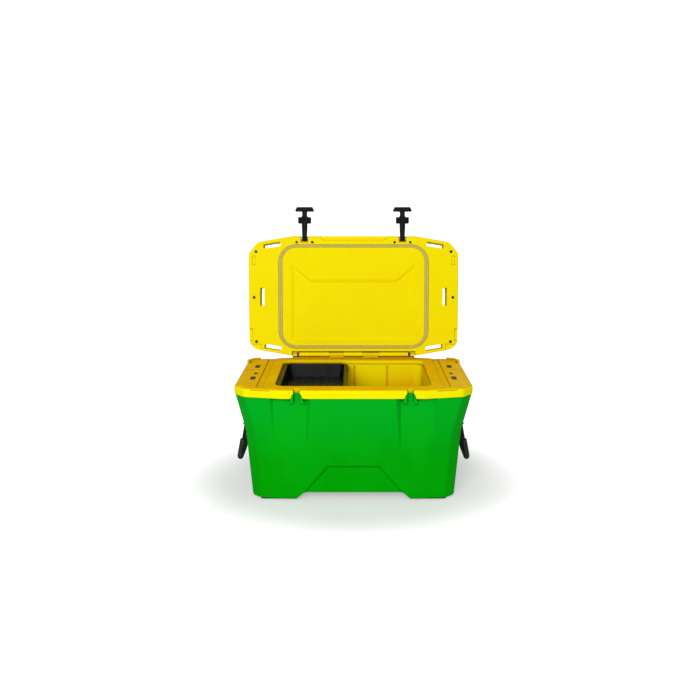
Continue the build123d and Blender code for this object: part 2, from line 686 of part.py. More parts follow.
# ---------------------------------------------------------------- handles, one at each end
BRACKET_LOW = 178.0
BRACKET_HIGH = 222.0
BRACKET_PLATE = 3.0
BRACKET_HALF = 86.0
PLATE_GAP = 0.2
EYE_RADIUS = 7.5
EYE_HALF = 5.0
LUG_STARTS = (-65.0, -44.4, 35.2, 55.8)
LUG_THICK = 9.2
PIN_RADIUS = 4.0
SLEEVE_TOP = 57.0  # how far below the pivot the grip sleeve begins
SCREW_HEAD_X = wall_x(BRACKET_SCREW_Z) + 1.8
handle_drop = hypot(HANDLE_GRIP[0] - HANDLE_PIVOT[0], HANDLE_PIVOT[1] - HANDLE_GRIP[1])
handle_lean = atan2(HANDLE_GRIP[0] - HANDLE_PIVOT[0], HANDLE_PIVOT[1] - HANDLE_GRIP[1])
# the handle's own plane: X along the grip, Y up the arms, origin on the pivot line
handle_plane = Plane(
    origin=(HANDLE_PIVOT[0], 0, HANDLE_PIVOT[1]),
    x_dir=(0, 1, 0),
    z_dir=(cos(handle_lean), 0, sin(handle_lean)),
)


def export_pair(right_part, name):
    """Write a right-hand piece, and its mirror image for the left-hand end."""
    right_part.label = name + "_right"
    export_step(right_part, "parts/" + name + "_right.step")
    left_part = mirror(right_part, Plane.YZ, mode=Mode.PRIVATE)
    left_part.label = name + "_left"
    export_step(left_part, "parts/" + name + "_left.step")


with BuildPart() as handle_bracket:
    with BuildSketch(Plane.XZ.offset(-BRACKET_HALF)):
        with BuildLine():
            Polyline(
                (wall_x(BRACKET_LOW) + PLATE_GAP, BRACKET_LOW),
                (wall_x(KINK[0]) + PLATE_GAP, KINK[0]),
                (wall_x(BRACKET_HIGH) + PLATE_GAP, BRACKET_HIGH),
                (wall_x(BRACKET_HIGH) + PLATE_GAP + BRACKET_PLATE, BRACKET_HIGH),
                (wall_x(KINK[0]) + PLATE_GAP + BRACKET_PLATE, KINK[0]),
                (wall_x(BRACKET_LOW) + PLATE_GAP + BRACKET_PLATE, BRACKET_LOW),
                close=True,
            )
        make_face()
    extrude(amount=2 * BRACKET_HALF)
    fillet(handle_bracket.edges().filter_by(Axis.X, tolerance=20), radius=8)
    for start in LUG_STARTS:
        with BuildSketch(Plane.XZ.offset(-start - LUG_THICK)):
            with BuildLine():
                Polyline(
                    (wall_x(BRACKET_LOW) + 1, BRACKET_LOW + 4),
                    (wall_x(KINK[0]) + 1, KINK[0]),
                    (HANDLE_PIVOT[0] + 1, HANDLE_PIVOT[1] + EYE_RADIUS),
                    (HANDLE_PIVOT[0] + EYE_RADIUS, HANDLE_PIVOT[1]),
                    (HANDLE_PIVOT[0] + 2, HANDLE_PIVOT[1] - EYE_RADIUS),
                    close=True,
                )
            make_face()
            with Locations(HANDLE_PIVOT):
                Circle(EYE_RADIUS)
        extrude(amount=LUG_THICK)
    with BuildSketch(Plane.XZ.offset(-BRACKET_HALF)):
        with Locations(HANDLE_PIVOT):
            Circle(PIN_RADIUS + RUN)
    extrude(amount=2 * BRACKET_HALF, mode=Mode.SUBTRACT)
    with BuildSketch(Plane.YZ.offset(SCREW_HEAD_X - 0.05)):
        with Locations(*BRACKET_SCREWS):
            Circle(4.8)
    extrude(amount=20, mode=Mode.SUBTRACT)
    with BuildSketch(Plane.YZ.offset(SCREW_HEAD_X - 10)):
        with Locations(*BRACKET_SCREWS):
            Circle(2.3)
    extrude(amount=12, mode=Mode.SUBTRACT)
export_pair(handle_bracket.part, "handle_bracket")

with BuildPart() as handle_pins:
    for start in (LUG_STARTS[0], LUG_STARTS[2]):
        with BuildSketch(Plane.XZ.offset(-start + 1)):
            with Locations(HANDLE_PIVOT):
                Circle(PIN_RADIUS)
        extrude(amount=-(LUG_STARTS[1] - LUG_STARTS[0] + LUG_THICK + 2))
    chamfer(handle_pins.edges().filter_by(GeomType.CIRCLE), length=0.6)
export_pair(handle_pins.part, "handle_pins")

with BuildPart() as bracket_screws:
    with BuildSketch(Plane.YZ.offset(SCREW_HEAD_X)):
        with Locations(*BRACKET_SCREWS):
            Circle(4.5)
    extrude(amount=2.6)
    chamfer(bracket_screws.faces().sort_by(Axis.X)[-3:].edges(), length=0.7)
    with BuildSketch(Plane.YZ.offset(SCREW_HEAD_X - 15)):
        with Locations(*BRACKET_SCREWS):
            Circle(2.1)
    extrude(amount=15.5)
    with BuildSketch(Plane.YZ.offset(SCREW_HEAD_X + 2.6)):
        with Locations(*BRACKET_SCREWS):
            RegularPolygon(2, 6)
    extrude(amount=-1.6, mode=Mode.SUBTRACT)
export_pair(bracket_screws.part, "bracket_screws")

with BuildPart() as handle_bail:
    with BuildLine(handle_plane) as bail_path:
        FilletPolyline(
            (-HANDLE_ARM_Y, -2),
            (-HANDLE_ARM_Y, -handle_drop),
            (HANDLE_ARM_Y, -handle_drop),
            (HANDLE_ARM_Y, -2),
            radius=14,
        )
    with BuildSketch(Plane(origin=bail_path.line @ 0, z_dir=bail_path.line % 0)):
        Circle(ROD_HALF)
    sweep()
    for middle in (-HANDLE_ARM_Y, HANDLE_ARM_Y):
        with BuildSketch(Plane.XZ.offset(-middle - EYE_HALF)):
            with Locations(HANDLE_PIVOT):
                Circle(EYE_RADIUS)
        extrude(amount=2 * EYE_HALF)
        with BuildSketch(Plane.XZ.offset(-middle - EYE_HALF - 1)):
            with Locations(HANDLE_PIVOT):
                Circle(PIN_RADIUS + RUN)
        extrude(amount=2 * EYE_HALF + 2, mode=Mode.SUBTRACT)
export_pair(handle_bail.part, "handle_bail")

with BuildPart() as handle_grip:
    with BuildLine(handle_plane) as grip_path:
        FilletPolyline(
            (-HANDLE_ARM_Y, -SLEEVE_TOP),
            (-HANDLE_ARM_Y, -handle_drop),
            (HANDLE_ARM_Y, -handle_drop),
            (HANDLE_ARM_Y, -SLEEVE_TOP),
            radius=14,
        )
    with BuildSketch(Plane(origin=grip_path.line @ 0, z_dir=grip_path.line % 0)):
        Circle(GRIP_RADIUS)
        Circle(ROD_HALF + 0.05, mode=Mode.SUBTRACT)
    sweep()
export_pair(handle_grip.part, "handle_grip")

# ---------------------------------------------------------------- dry tray hung on the ledge
TRAY_LIP_X = (-229.5, -17.0)
TRAY_BODY_X = (-219.0, -28.0)
TRAY_HALF = 144.0
TRAY_DEPTH = 40.3
TRAY_WALL = 2.5
TRAY_DRAFT = 5.0
TRAY_LIP = 3.0
TRAY_HOLES_X = -117.5
tray_lip_z = LEDGE_Z + 0.1
tray_mid_x = (TRAY_BODY_X[0] + TRAY_BODY_X[1]) / 2
tray_width = TRAY_BODY_X[1] - TRAY_BODY_X[0]


def tray_block(inset):
    """The filled tray, drawn inset from its outer face."""
    with BuildPart() as block:
        for height, pull in ((tray_lip_z - TRAY_DEPTH + inset, TRAY_DRAFT), (tray_lip_z + TRAY_LIP, 0)):
            with BuildSketch(Plane.XY.offset(height)):
                with Locations((tray_mid_x, 0)):
                    RectangleRounded(
                        tray_width - 2 * (inset + pull), 2 * (TRAY_HALF - inset - pull), 18 - inset
                    )
        loft(ruled=True)
    return block.part


tray_outside = tray_block(0)
tray_inside = tray_block(TRAY_WALL)

with BuildPart() as dry_tray:
    with BuildSketch(Plane.XY.offset(tray_lip_z)):
        with Locations(((TRAY_LIP_X[0] + TRAY_LIP_X[1]) / 2, 0)):
            RectangleRounded(TRAY_LIP_X[1] - TRAY_LIP_X[0], 2 * (OPENING[1] - 1), 30)
    extrude(amount=TRAY_LIP)
    fillet(dry_tray.faces().sort_by(Axis.Z)[-1].edges(), radius=1)
    add(tray_outside)
    add(tray_inside, mode=Mode.SUBTRACT)
    with BuildSketch(Plane.XY.offset(tray_lip_z - TRAY_DEPTH - 1)):
        with Locations((TRAY_HOLES_X, 0)):
            with GridLocations(25, 44, 6, 6):
                Circle(4.2)
    extrude(amount=TRAY_WALL + 2, mode=Mode.SUBTRACT)
dry_tray.part.label = "dry_tray"
export_step(dry_tray.part, "parts/dry_tray.step")

# ---------------------------------------------------------------- hinge rod and its end caps
ROD_HALF_LENGTH = 184.0

with BuildPart() as hinge_rod:
    with BuildSketch(Plane.YZ.offset(-ROD_HALF_LENGTH)):
        with Locations((HINGE_Y, HINGE_Z)):
            Circle(ROD_RADIUS)
    extrude(amount=2 * ROD_HALF_LENGTH)
hinge_rod.part.label = "hinge_rod"
export_step(hinge_rod.part, "parts/hinge_rod.step")

with BuildPart() as hinge_caps:
    for side in SIDES:
        with BuildSketch(Plane.YZ.offset(side * (ROD_HALF_LENGTH + 0.1))):
            with Locations((HINGE_Y, HINGE_Z)):
                Circle(5.6)
        extrude(amount=side * 6)
    fillet(hinge_caps.edges().filter_by(GeomType.CIRCLE), radius=1)
hinge_caps.part.label = "hinge_caps"
export_step(hinge_caps.part, "parts/hinge_caps.step")

# ---------------------------------------------------------------- lid, drawn closed and turned open at the end
LID_ROUND = 16.0
SLOT_LONG = (58.0, 14.5, 4.0)  # length, width, corner radius of the slanted tie-down slots
SLOT_SIDE = (14.0, 60.0, 4.0)
SLOT_FRONT_SPOT = (271.5, -169.5)
SLOT_REAR_SPOT = (270.0, 171.5)
SLOT_SIDE_SPOT = (305.0, 2.0)
SLOT_TILT = 9.0
POCKET_TOP = LID_BOTTOM + 16.5
POCKET_HALF = (15.0, 11.5)  # half width of the latch pocket at its mouth and at its back
POCKET_BACK_Y = -178.5
LATCH_SCREW = 26.0  # screws to either side of a latch
LATCH_SCREW_Y = -179.0
LATCH_PIN_RADIUS = 2.5
LATCH_PIN_HALF = 33.0
BLOCK = (35.0, 12.0, -183.6)  # half width, half depth and middle Y of the latch block
BLOCK_BOTTOM = LID_BOTTOM + PANEL + 0.3
BLOCK_TOP = LID_SPLIT + 1
FINGER_DEPTH = 7.0
KEY_SPOT = (332.5, -119.0)
KEY_SIZE = (11.0, 32.0, 3.0)
KEY_DEPTH = 3.0
DISH_DEPTH = 5.0
DISH_BORDER = 11.0
BACKING = 3.0
LATCH_MIDDLES = [side * LATCH_X for side in SIDES]
LATCH_SCREWS = [(x + turn * LATCH_SCREW, LATCH_SCREW_Y) for x in LATCH_MIDDLES for turn in SIDES]


def lid_slots(grow, low, high):
    """The six through slots of the lid, grown by a wall thickness."""
    with BuildPart() as slots:
        with BuildSketch(Plane.XY.offset(low)):
            for side in SIDES:
                for spot, tilt in ((SLOT_FRONT_SPOT, SLOT_TILT), (SLOT_REAR_SPOT, -SLOT_TILT)):
                    with Locations((side * spot[0], spot[1])):
                        RectangleRounded(
                            SLOT_LONG[0] + 2 * grow,
                            SLOT_LONG[1] + 2 * grow,
                            SLOT_LONG[2] + grow,
                            rotation=side * tilt,
                        )
                with Locations((side * SLOT_SIDE_SPOT[0], SLOT_SIDE_SPOT[1])):
                    RectangleRounded(SLOT_SIDE[0] + 2 * grow, SLOT_SIDE[1] + 2 * grow, SLOT_SIDE[2] + grow)
        extrude(amount=high - low)
    return slots.part


def screw_columns(spots, radius, low, high):
    """Round columns at a set of places."""
    with BuildPart() as columns:
        with BuildSketch(Plane.XY.offset(low)):
            with Locations(*spots):
                Circle(radius)
        extrude(amount=high - low)
    return columns.part


def latch_pockets(grow):
    """The two pockets in the lid's front edge, wider at the mouth, grown by a wall thickness."""
    with BuildPart() as pockets:
        with BuildSketch(Plane.XY.offset(LID_BOTTOM - 1)):
            for x in LATCH_MIDDLES:
                with BuildLine():
                    Polyline(
                        (x - POCKET_HALF[0] - grow, -HALF_DEPTH - 1),
                        (x + POCKET_HALF[0] + grow, -HALF_DEPTH - 1),
                        (x + POCKET_HALF[1] + grow, POCKET_BACK_Y + grow),
                        (x - POCKET_HALF[1] - grow, POCKET_BACK_Y + grow),
                        close=True,
                    )
                make_face()
        extrude(amount=POCKET_TOP - LID_BOTTOM + 1 + grow)
    return pockets.part


def finger_recess(grow):
    """The lifting recess under the middle of the lid's front edge."""
    with BuildPart() as recess:
        with BuildSketch(Plane.XY.offset(LID_BOTTOM - 1)):
            with BuildLine():
                Polyline(
                    (-118 - grow, -HALF_DEPTH - 1),
                    (118 + grow, -HALF_DEPTH - 1),
                    (102 + grow, -185 + grow),
                    (-102 - grow, -185 + grow),
                    close=True,
                )
            make_face()
        extrude(amount=FINGER_DEPTH + 1 + grow)
    return recess.part


def corner_keys(grow):
    """Key slots in the lid's front corners, and the notches that clear the rear curbs and humps."""
    with BuildPart() as keys:
        with BuildSketch(Plane.XY.offset(LID_BOTTOM - 1)):
            with Locations((-KEY_SPOT[0], KEY_SPOT[1]), KEY_SPOT):
                RectangleRounded(KEY_SIZE[0] + 2 * grow, KEY_SIZE[1] + 2 * grow, KEY_SIZE[2] + grow)
        extrude(amount=KEY_DEPTH + 1 + grow)
        with BuildSketch(Plane.XY.offset(LID_BOTTOM - 1)):
            for side in SIDES:
                with Locations((side * (HALF_WIDTH + 6), (CURB_Y[0] + CURB_Y[1]) / 2)):
                    Rectangle(37 + 2 * grow, CURB_Y[1] - CURB_Y[0] + 8 + 2 * grow)
        extrude(amount=CURB_HEIGHT + 2 + grow)
        with BuildSketch(Plane.XY.offset(LID_BOTTOM - 1)):
            for side in SIDES:
                with Locations((side * (HUMP_X[0] - HUMP_GAP + HALF_WIDTH + HUMP_GAP) / 2, HALF_DEPTH)):
                    Rectangle(
                        HALF_WIDTH - HUMP_X[0] + 2 * (HUMP_GAP + grow),
                        2 * (HALF_DEPTH - HUMP_Y[0] + 2 + grow),
                    )
        extrude(amount=HUMP_HEIGHT + 1 + grow)
    return keys.part


def lid_dish(grow):
    """The sunk field inside the gasket, with soft sloping borders."""
    with BuildPart() as dish:
        for height, trim in ((LID_BOTTOM - 0.5, -0.5), (LID_BOTTOM + DISH_DEPTH + grow, DISH_BORDER)):
            with BuildSketch(Plane.XY.offset(height)):
                with BuildLine():
                    Polyline(
                        (-209 + trim - grow, -112 + 2 * trim - grow),
                        (-146 + trim / 2 - grow, -56 + trim - grow),
                        (146 - trim / 2 + grow, -56 + trim - grow),
                        (209 - trim + grow, -112 + 2 * trim - grow),
                        (209 - trim + grow, 146 - trim + grow),
                        (-209 + trim - grow, 146 - trim + grow),
                        close=True,
                    )
                make_face()
        loft(ruled=True)
    return dish.part


def hinge_slot(grow):
    """The slot along the lid's rear edge that the knuckles turn in."""
    half_length, half_height = HINGE_SLOT
    with BuildPart() as slot:
        with BuildSketch(Plane.YZ.offset(-half_length - grow)):
            with BuildLine():
                Polyline(
                    (HINGE_Y - half_height - grow, LID_BOTTOM - 2),
                    (HINGE_Y - half_height - grow, HINGE_Z + half_height + grow),
                    (HALF_DEPTH + 2, HINGE_Z + half_height + grow),
                    (HALF_DEPTH + 2, LID_BOTTOM - 2),
                    close=True,
                )
            make_face()
        extrude(amount=2 * (half_length + grow))
    return slot.part


def latch_blocks(grow):
    """The two blocks inside the lid that hold the latch pins."""
    with BuildPart() as blocks:
        with BuildSketch(Plane.XY.offset(BLOCK_BOTTOM - grow)):
            with Locations(*[(side * LATCH_X, BLOCK[2]) for side in SIDES]):
                Rectangle(2 * (BLOCK[0] + grow), 2 * (BLOCK[1] + grow))
        extrude(amount=BLOCK_TOP - BLOCK_BOTTOM + 2 * grow)
    return blocks.part


def panel_hollow(grow):
    """The space inside the lid's inner panel, less everything that stands up in it."""
    obstacles = [lid_slots(BACKING + grow, LID_BOTTOM - 1, LID_SPLIT + 2), latch_pockets(BACKING + grow)]
    obstacles += [finger_recess(BACKING + grow), corner_keys(BACKING + grow), lid_dish(PANEL + grow)]
    obstacles += [hinge_slot(BACKING + grow)]
    obstacles += [screw_columns(LID_CORNER_SCREWS, BOSS_RADIUS + grow, LID_BOTTOM, LID_SPLIT + 2)]
    block = rim_block(WALL + grow, LID_BOTTOM + PANEL + grow, LID_SPLIT)
    with BuildPart() as hollow:
        add(block)
        for obstacle in obstacles:
            add(obstacle, mode=Mode.SUBTRACT)
    return hollow.part


def cover_block(inset):
    """The filled lid cover, drawn inset from its outer face, with a rounded top edge."""
    with BuildPart() as block:
        with BuildSketch(Plane.XY.offset(LID_SPLIT)):
            add(plan_outline(HALF_WIDTH - inset, HALF_DEPTH - inset))
        extrude(amount=LID_TOP - inset - LID_SPLIT)
        fillet(block.edges().group_by(Axis.Z)[-1], radius=LID_ROUND - inset)
    return block.part


def cover_field(grow):
    """The shallow sunk field on the lid's top."""
    with BuildPart() as field:
        for height, pull in ((LID_TOP - 2.5 - grow, 3), (LID_TOP + 1, 0)):
            with BuildSketch(Plane.XY.offset(height)):
                RectangleRounded(2 * (232 - pull + grow), 2 * (142 - pull + grow), 30)
        loft(ruled=True)
    return field.part


def cover_hollow(grow):
    """The space inside the cover, less the slot sleeves, screw columns and sunk field."""
    obstacles = [lid_slots(BACKING + grow, LID_SPLIT - 1, LID_TOP + 1), cover_field(WALL + grow)]
    obstacles += [screw_columns(LID_CORNER_SCREWS, BOSS_RADIUS + grow, LID_SPLIT - 1, LID_TOP)]
    block = cover_block(WALL + grow)
    with BuildPart() as hollow:
        add(block)
        for obstacle in obstacles:
            add(obstacle, mode=Mode.SUBTRACT)
    return hollow.part


def opened(closed_part):
    """A lid piece turned from its closed place to the open pose."""
    return closed_part.rotate(HINGE_AXIS, -LID_OPEN)


def gasket_ring(outset, low, high):
    """The seal's ring, outset by a clearance, between two heights."""
    half_width, half_depth, middle = GASKET
    with BuildPart() as ring:
        with BuildSketch(Plane.XY.offset(low)):
            with Locations((0, middle)):
                RectangleRounded(2 * (half_width + outset), 2 * (half_depth + outset), GASKET_RADIUS + outset)
                RectangleRounded(
                    2 * (half_width - GASKET_SIDE - outset),
                    2 * (half_depth - GASKET_END - outset),
                    GASKET_RADIUS - GASKET_SIDE - outset,
                    mode=Mode.SUBTRACT,
                )
        extrude(amount=high - low)
    return ring.part


panel_block = rim_block(0, LID_BOTTOM, LID_SPLIT)
panel_cuts = [panel_hollow(0), lid_slots(0, LID_BOTTOM - 1, LID_SPLIT + 1), latch_pockets(0)]
panel_cuts += [finger_recess(0), corner_keys(0), lid_dish(0), hinge_slot(0)]
panel_cuts += [gasket_ring(0.3, LID_BOTTOM - 1, LID_BOTTOM + 2)]

with BuildPart() as lid_inner_panel:
    add(panel_block)
    fillet(lid_inner_panel.edges().group_by(Axis.Z)[0], radius=EDGE_ROUND - 1)
    for cut in panel_cuts:
        add(cut, mode=Mode.SUBTRACT)
    # hinge knuckles and the webs that carry them
    for start, end in LID_KNUCKLES:
        with BuildSketch(Plane.YZ.offset(start)):
            with Locations((HINGE_Y, HINGE_Z)):
                Circle(HINGE_RADIUS)
            with Locations((HINGE_Y - HINGE_SLOT[1] / 2 - 0.5, HINGE_Z + HINGE_SLOT[1] / 2 + 0.5)):
                Rectangle(HINGE_SLOT[1] + 1, HINGE_SLOT[1] + 1)
        extrude(amount=end - start)
    with BuildSketch(Plane.YZ.offset(LID_KNUCKLES[0][0] - 1)):
        with Locations((HINGE_Y, HINGE_Z)):
            Circle(ROD_RADIUS + RUN)
    extrude(amount=LID_KNUCKLES[2][1] - LID_KNUCKLES[0][0] + 2, mode=Mode.SUBTRACT)
    # screw holes: counterbored corners, latch screws, latch pins
    with BuildSketch(Plane.XY.offset(LID_BOTTOM)):
        with Locations(*LID_CORNER_SCREWS):
            Circle(2.6)
        with Locations(*LATCH_SCREWS):
            Circle(2.1)
    extrude(amount=LID_SPLIT, mode=Mode.SUBTRACT)
    with BuildSketch(Plane.XY.offset(LID_BOTTOM)):
        with Locations(*LID_CORNER_SCREWS):
            Circle(5)
        with Locations(*LATCH_SCREWS):
            Circle(4.6)
    extrude(amount=2.3, mode=Mode.SUBTRACT)
    for x in LATCH_MIDDLES:
        with BuildSketch(Plane.YZ.offset(x - LATCH_PIN_HALF)):
            with Locations((PIVOT_Y, PIVOT_Z)):
                Circle(LATCH_PIN_RADIUS + RUN)
        extrude(amount=2 * LATCH_PIN_HALF, mode=Mode.SUBTRACT)
lid_inner_panel.part = opened(lid_inner_panel.part)
lid_inner_panel.part.label = "lid_inner_panel"
export_step(lid_inner_panel.part, "parts/lid_inner_panel.step")

lid_shell_block = cover_block(0)
lid_shell_cuts = [cover_hollow(0), cover_field(0), lid_slots(0, LID_SPLIT - 1, LID_TOP + 1)]
lid_shell_cuts += [screw_columns(LID_CORNER_SCREWS, 2.3, LID_SPLIT - 1, LID_TOP - 22)]

with BuildPart() as lid_cover:
    add(lid_shell_block)
    for cut in lid_shell_cuts:
        add(cut, mode=Mode.SUBTRACT)
lid_cover.part = opened(lid_cover.part)
lid_cover.part.label = "lid_cover"
export_step(lid_cover.part, "parts/lid_cover.step")

lid_foam_lower = panel_hollow(FIT)
lid_foam_upper = cover_hollow(FIT)
lid_foam_cuts = latch_blocks(FIT)

with BuildPart() as lid_foam:
    add(lid_foam_lower)
    add(lid_foam_upper)
    add(lid_foam_cuts, mode=Mode.SUBTRACT)
lid_foam.part = opened(lid_foam.part)
lid_foam.part.label = "lid_foam"
export_step(lid_foam.part, "parts/lid_foam.step")

with BuildPart() as lid_gasket:
    add(gasket_ring(0, RIM_TOP + 0.25, LID_BOTTOM + 1.95))
    fillet(lid_gasket.faces().sort_by(Axis.Z)[0].edges(), radius=1.2)
lid_gasket.part = opened(lid_gasket.part)
lid_gasket.part.label = "lid_gasket"
export_step(lid_gasket.part, "parts/lid_gasket.step")

with BuildPart() as lid_screws:
    with BuildSketch(Plane.XY.offset(LID_BOTTOM + 0.3)):
        with Locations(*LID_CORNER_SCREWS):
            Circle(4.7)
    extrude(amount=1.95)
    with BuildSketch(Plane.XY.offset(LID_BOTTOM + 0.3)):
        with Locations(*LID_CORNER_SCREWS):
            Circle(2.15)
    extrude(amount=30)
    with BuildSketch(Plane.XY.offset(LID_BOTTOM + 0.3)):
        with Locations(*LID_CORNER_SCREWS):
            RegularPolygon(2.2, 6)
    extrude(amount=1.3, mode=Mode.SUBTRACT)
lid_screws.part = opened(lid_screws.part)
lid_screws.part.label = "lid_screws"
export_step(lid_screws.part, "parts/lid_screws.step")

# ---------------------------------------------------------------- latches: block, pin, screws and rubber T
both_blocks = latch_blocks(0)
pocket_walls = latch_pockets(BACKING + 0.3)
ARM_WIDE = 17.0
EYE_WIDE = 16.0
latch_names = {-1: "left", 1: "right"}

for side, side_name in latch_names.items():
    x = side * LATCH_X
    with BuildPart() as latch_block:
        add(both_blocks)
        add(pocket_walls, mode=Mode.SUBTRACT)
        with BuildSketch(Plane.XY.offset(LID_BOTTOM)):
            with Locations((-x, BLOCK[2])):
                Rectangle(120, 60)
        extrude(amount=LID_HEIGHT, mode=Mode.SUBTRACT)
        with BuildSketch(Plane.YZ.offset(x - LATCH_PIN_HALF - 0.5)):
            with Locations((PIVOT_Y, PIVOT_Z)):
                Circle(LATCH_PIN_RADIUS + RUN)
        extrude(amount=2 * LATCH_PIN_HALF + 1, mode=Mode.SUBTRACT)
        with BuildSketch(Plane.XY.offset(BLOCK_BOTTOM)):
            with Locations((x - LATCH_SCREW, LATCH_SCREW_Y), (x + LATCH_SCREW, LATCH_SCREW_Y)):
                Circle(2.1)
        extrude(amount=18, mode=Mode.SUBTRACT)
    latch_block.part = opened(latch_block.part)
    latch_block.part.label = "latch_block_" + side_name
    export_step(latch_block.part, "parts/latch_block_" + side_name + ".step")

    with BuildPart() as latch_pin:
        with BuildSketch(Plane.YZ.offset(x - LATCH_PIN_HALF)):
            with Locations((PIVOT_Y, PIVOT_Z)):
                Circle(LATCH_PIN_RADIUS)
        extrude(amount=2 * LATCH_PIN_HALF)
    latch_pin.part = opened(latch_pin.part)
    latch_pin.part.label = "latch_pin_" + side_name
    export_step(latch_pin.part, "parts/latch_pin_" + side_name + ".step")

    with BuildPart() as latch_screws:
        for radius, length in ((4.3, 1.95), (1.95, 17)):
            with BuildSketch(Plane.XY.offset(LID_BOTTOM + 0.3)):
                with Locations((x - LATCH_SCREW, LATCH_SCREW_Y), (x + LATCH_SCREW, LATCH_SCREW_Y)):
                    Circle(radius)
            extrude(amount=length)
        with BuildSketch(Plane.XY.offset(LID_BOTTOM + 0.3)):
            with Locations((x - LATCH_SCREW, LATCH_SCREW_Y), (x + LATCH_SCREW, LATCH_SCREW_Y)):
                RegularPolygon(2, 6)
        extrude(amount=1.2, mode=Mode.SUBTRACT)
    latch_screws.part = opened(latch_screws.part)
    latch_screws.part.label = "latch_screws_" + side_name
    export_step(latch_screws.part, "parts/latch_screws_" + side_name + ".step")

    # half width, start and end from the pivot, inner and outer face of each stretch of the latch
    stretches = (
        (ARM_WIDE / 2, 0, LATCH_NECK + 2, -5, 5),
        (21.0, LATCH_NECK, LATCH_NECK + LATCH_SHOULDER, -3, 8),
        (6.5, LATCH_NECK + LATCH_SHOULDER - 2, LATCH_REACH - 14, -1, 7),
        (29.5, LATCH_REACH - 16, LATCH_REACH, 0, 13),
    )
    with BuildPart() as latch:
        for half, near, far, inner, outer in stretches:
            with BuildSketch(Plane.XY.offset(PIVOT_Z + inner)):
                with Locations((x, PIVOT_Y - (near + far) / 2)):
                    RectangleRounded(2 * half, far - near, min(half, (far - near) / 2) * 0.45)
            extrude(amount=outer - inner)
        with BuildSketch(Plane.YZ.offset(x - EYE_WIDE / 2)):
            with Locations((PIVOT_Y, PIVOT_Z)):
                Circle(7)
        extrude(amount=EYE_WIDE)
        with BuildSketch(Plane.YZ.offset(x - EYE_WIDE)):
            with Locations((PIVOT_Y, PIVOT_Z)):
                Circle(LATCH_PIN_RADIUS + RUN)
        extrude(amount=2 * EYE_WIDE, mode=Mode.SUBTRACT)
    latch.part = opened(latch.part)
    latch.part.label = "latch_" + side_name
    export_step(latch.part, "parts/latch_" + side_name + ".step")
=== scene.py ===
"""Cooler chest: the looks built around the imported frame. Metres, in the frame's own axes.

The frame stands with its lid open. Rubber pieces are built here as new meshes, and every
moulded or metal piece of the frame gets a node material for its slot.
"""

import json
import math

import bmesh
import bpy
from mathutils import Matrix, Vector


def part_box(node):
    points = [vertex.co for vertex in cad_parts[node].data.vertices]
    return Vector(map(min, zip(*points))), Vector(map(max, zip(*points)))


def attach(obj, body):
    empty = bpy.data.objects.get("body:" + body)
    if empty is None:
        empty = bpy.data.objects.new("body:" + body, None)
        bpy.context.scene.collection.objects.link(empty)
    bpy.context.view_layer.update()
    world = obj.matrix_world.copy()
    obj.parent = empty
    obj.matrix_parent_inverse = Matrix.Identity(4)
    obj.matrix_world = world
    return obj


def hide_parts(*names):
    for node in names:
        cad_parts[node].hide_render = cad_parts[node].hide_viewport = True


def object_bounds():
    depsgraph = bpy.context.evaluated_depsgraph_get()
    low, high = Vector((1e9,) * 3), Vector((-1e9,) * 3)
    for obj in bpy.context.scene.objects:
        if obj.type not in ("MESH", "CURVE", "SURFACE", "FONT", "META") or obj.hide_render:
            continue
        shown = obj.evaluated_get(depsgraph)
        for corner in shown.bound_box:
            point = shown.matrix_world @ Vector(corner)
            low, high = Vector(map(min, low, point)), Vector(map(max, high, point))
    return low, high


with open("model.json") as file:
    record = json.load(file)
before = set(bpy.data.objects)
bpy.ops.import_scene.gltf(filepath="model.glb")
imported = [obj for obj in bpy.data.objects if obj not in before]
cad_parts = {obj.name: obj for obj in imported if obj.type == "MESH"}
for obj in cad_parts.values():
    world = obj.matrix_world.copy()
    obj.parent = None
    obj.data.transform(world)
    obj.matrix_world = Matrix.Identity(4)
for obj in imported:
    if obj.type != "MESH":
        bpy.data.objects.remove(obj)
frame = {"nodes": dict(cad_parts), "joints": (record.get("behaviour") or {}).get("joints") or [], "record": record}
cad_low, cad_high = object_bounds()

MM = 0.001
JOINTS = {joint["name"]: joint for joint in frame["joints"]}
LID_TURN = Matrix.Rotation(math.radians(JOINTS["lid_hinge"]["range_deg"][0]), 4, "X")

# ---------------------------------------------------------------- camera and studio
CAMERA_PLACE = (0.0, -2.2138, 0.9378)
CAMERA_TILT = math.radians(90 - 13.06)
SENSOR = 36.0
LENS = 37.8
CAMERA_SHIFT = (-0.005, -0.0012)  # in frame widths
FLOOR_SIZE = 30.0
FLOOR_GLOW = (0.4, 1.1)  # beside the chest, and away from it
SHADE_HALF = (0.4, 0.3)  # half sizes of the shaded patch of floor
SHADE_FADE = (0.9, 1.9)  # where the patch starts and ends fading, in its half sizes
FLOOR_GREYS = ((0.56, 0.56, 0.56, 1), (0.6, 0.6, 0.6, 1))
WHITE = (1, 1, 1, 1)
WORLD_LIGHT = 0.35  # how bright the surroundings light the chest
WORLD_SEEN = 1.2  # how bright they look behind it
LIGHT_TARGET = (0.0, 0.0, 0.35)
KEY_LIGHT = ((-0.5, -3.0, 1.75), 1.8, 74.0)  # place, size and watts
BACK_LIGHT = ((0.6, 3.0, 2.0), 2.4, 12.0)


def shade(red, green, blue):
    """A linear colour with alpha, from display values of 0 to 255."""
    channels = []
    for value in (red, green, blue):
        share = value / 255
        channels.append(share / 12.92 if share <= 0.04045 else ((share + 0.055) / 1.055) ** 2.4)
    return (*channels, 1.0)


# ---------------------------------------------------------------- node materials
MATERIALS = {}  # by slot name, filled as each one is finished

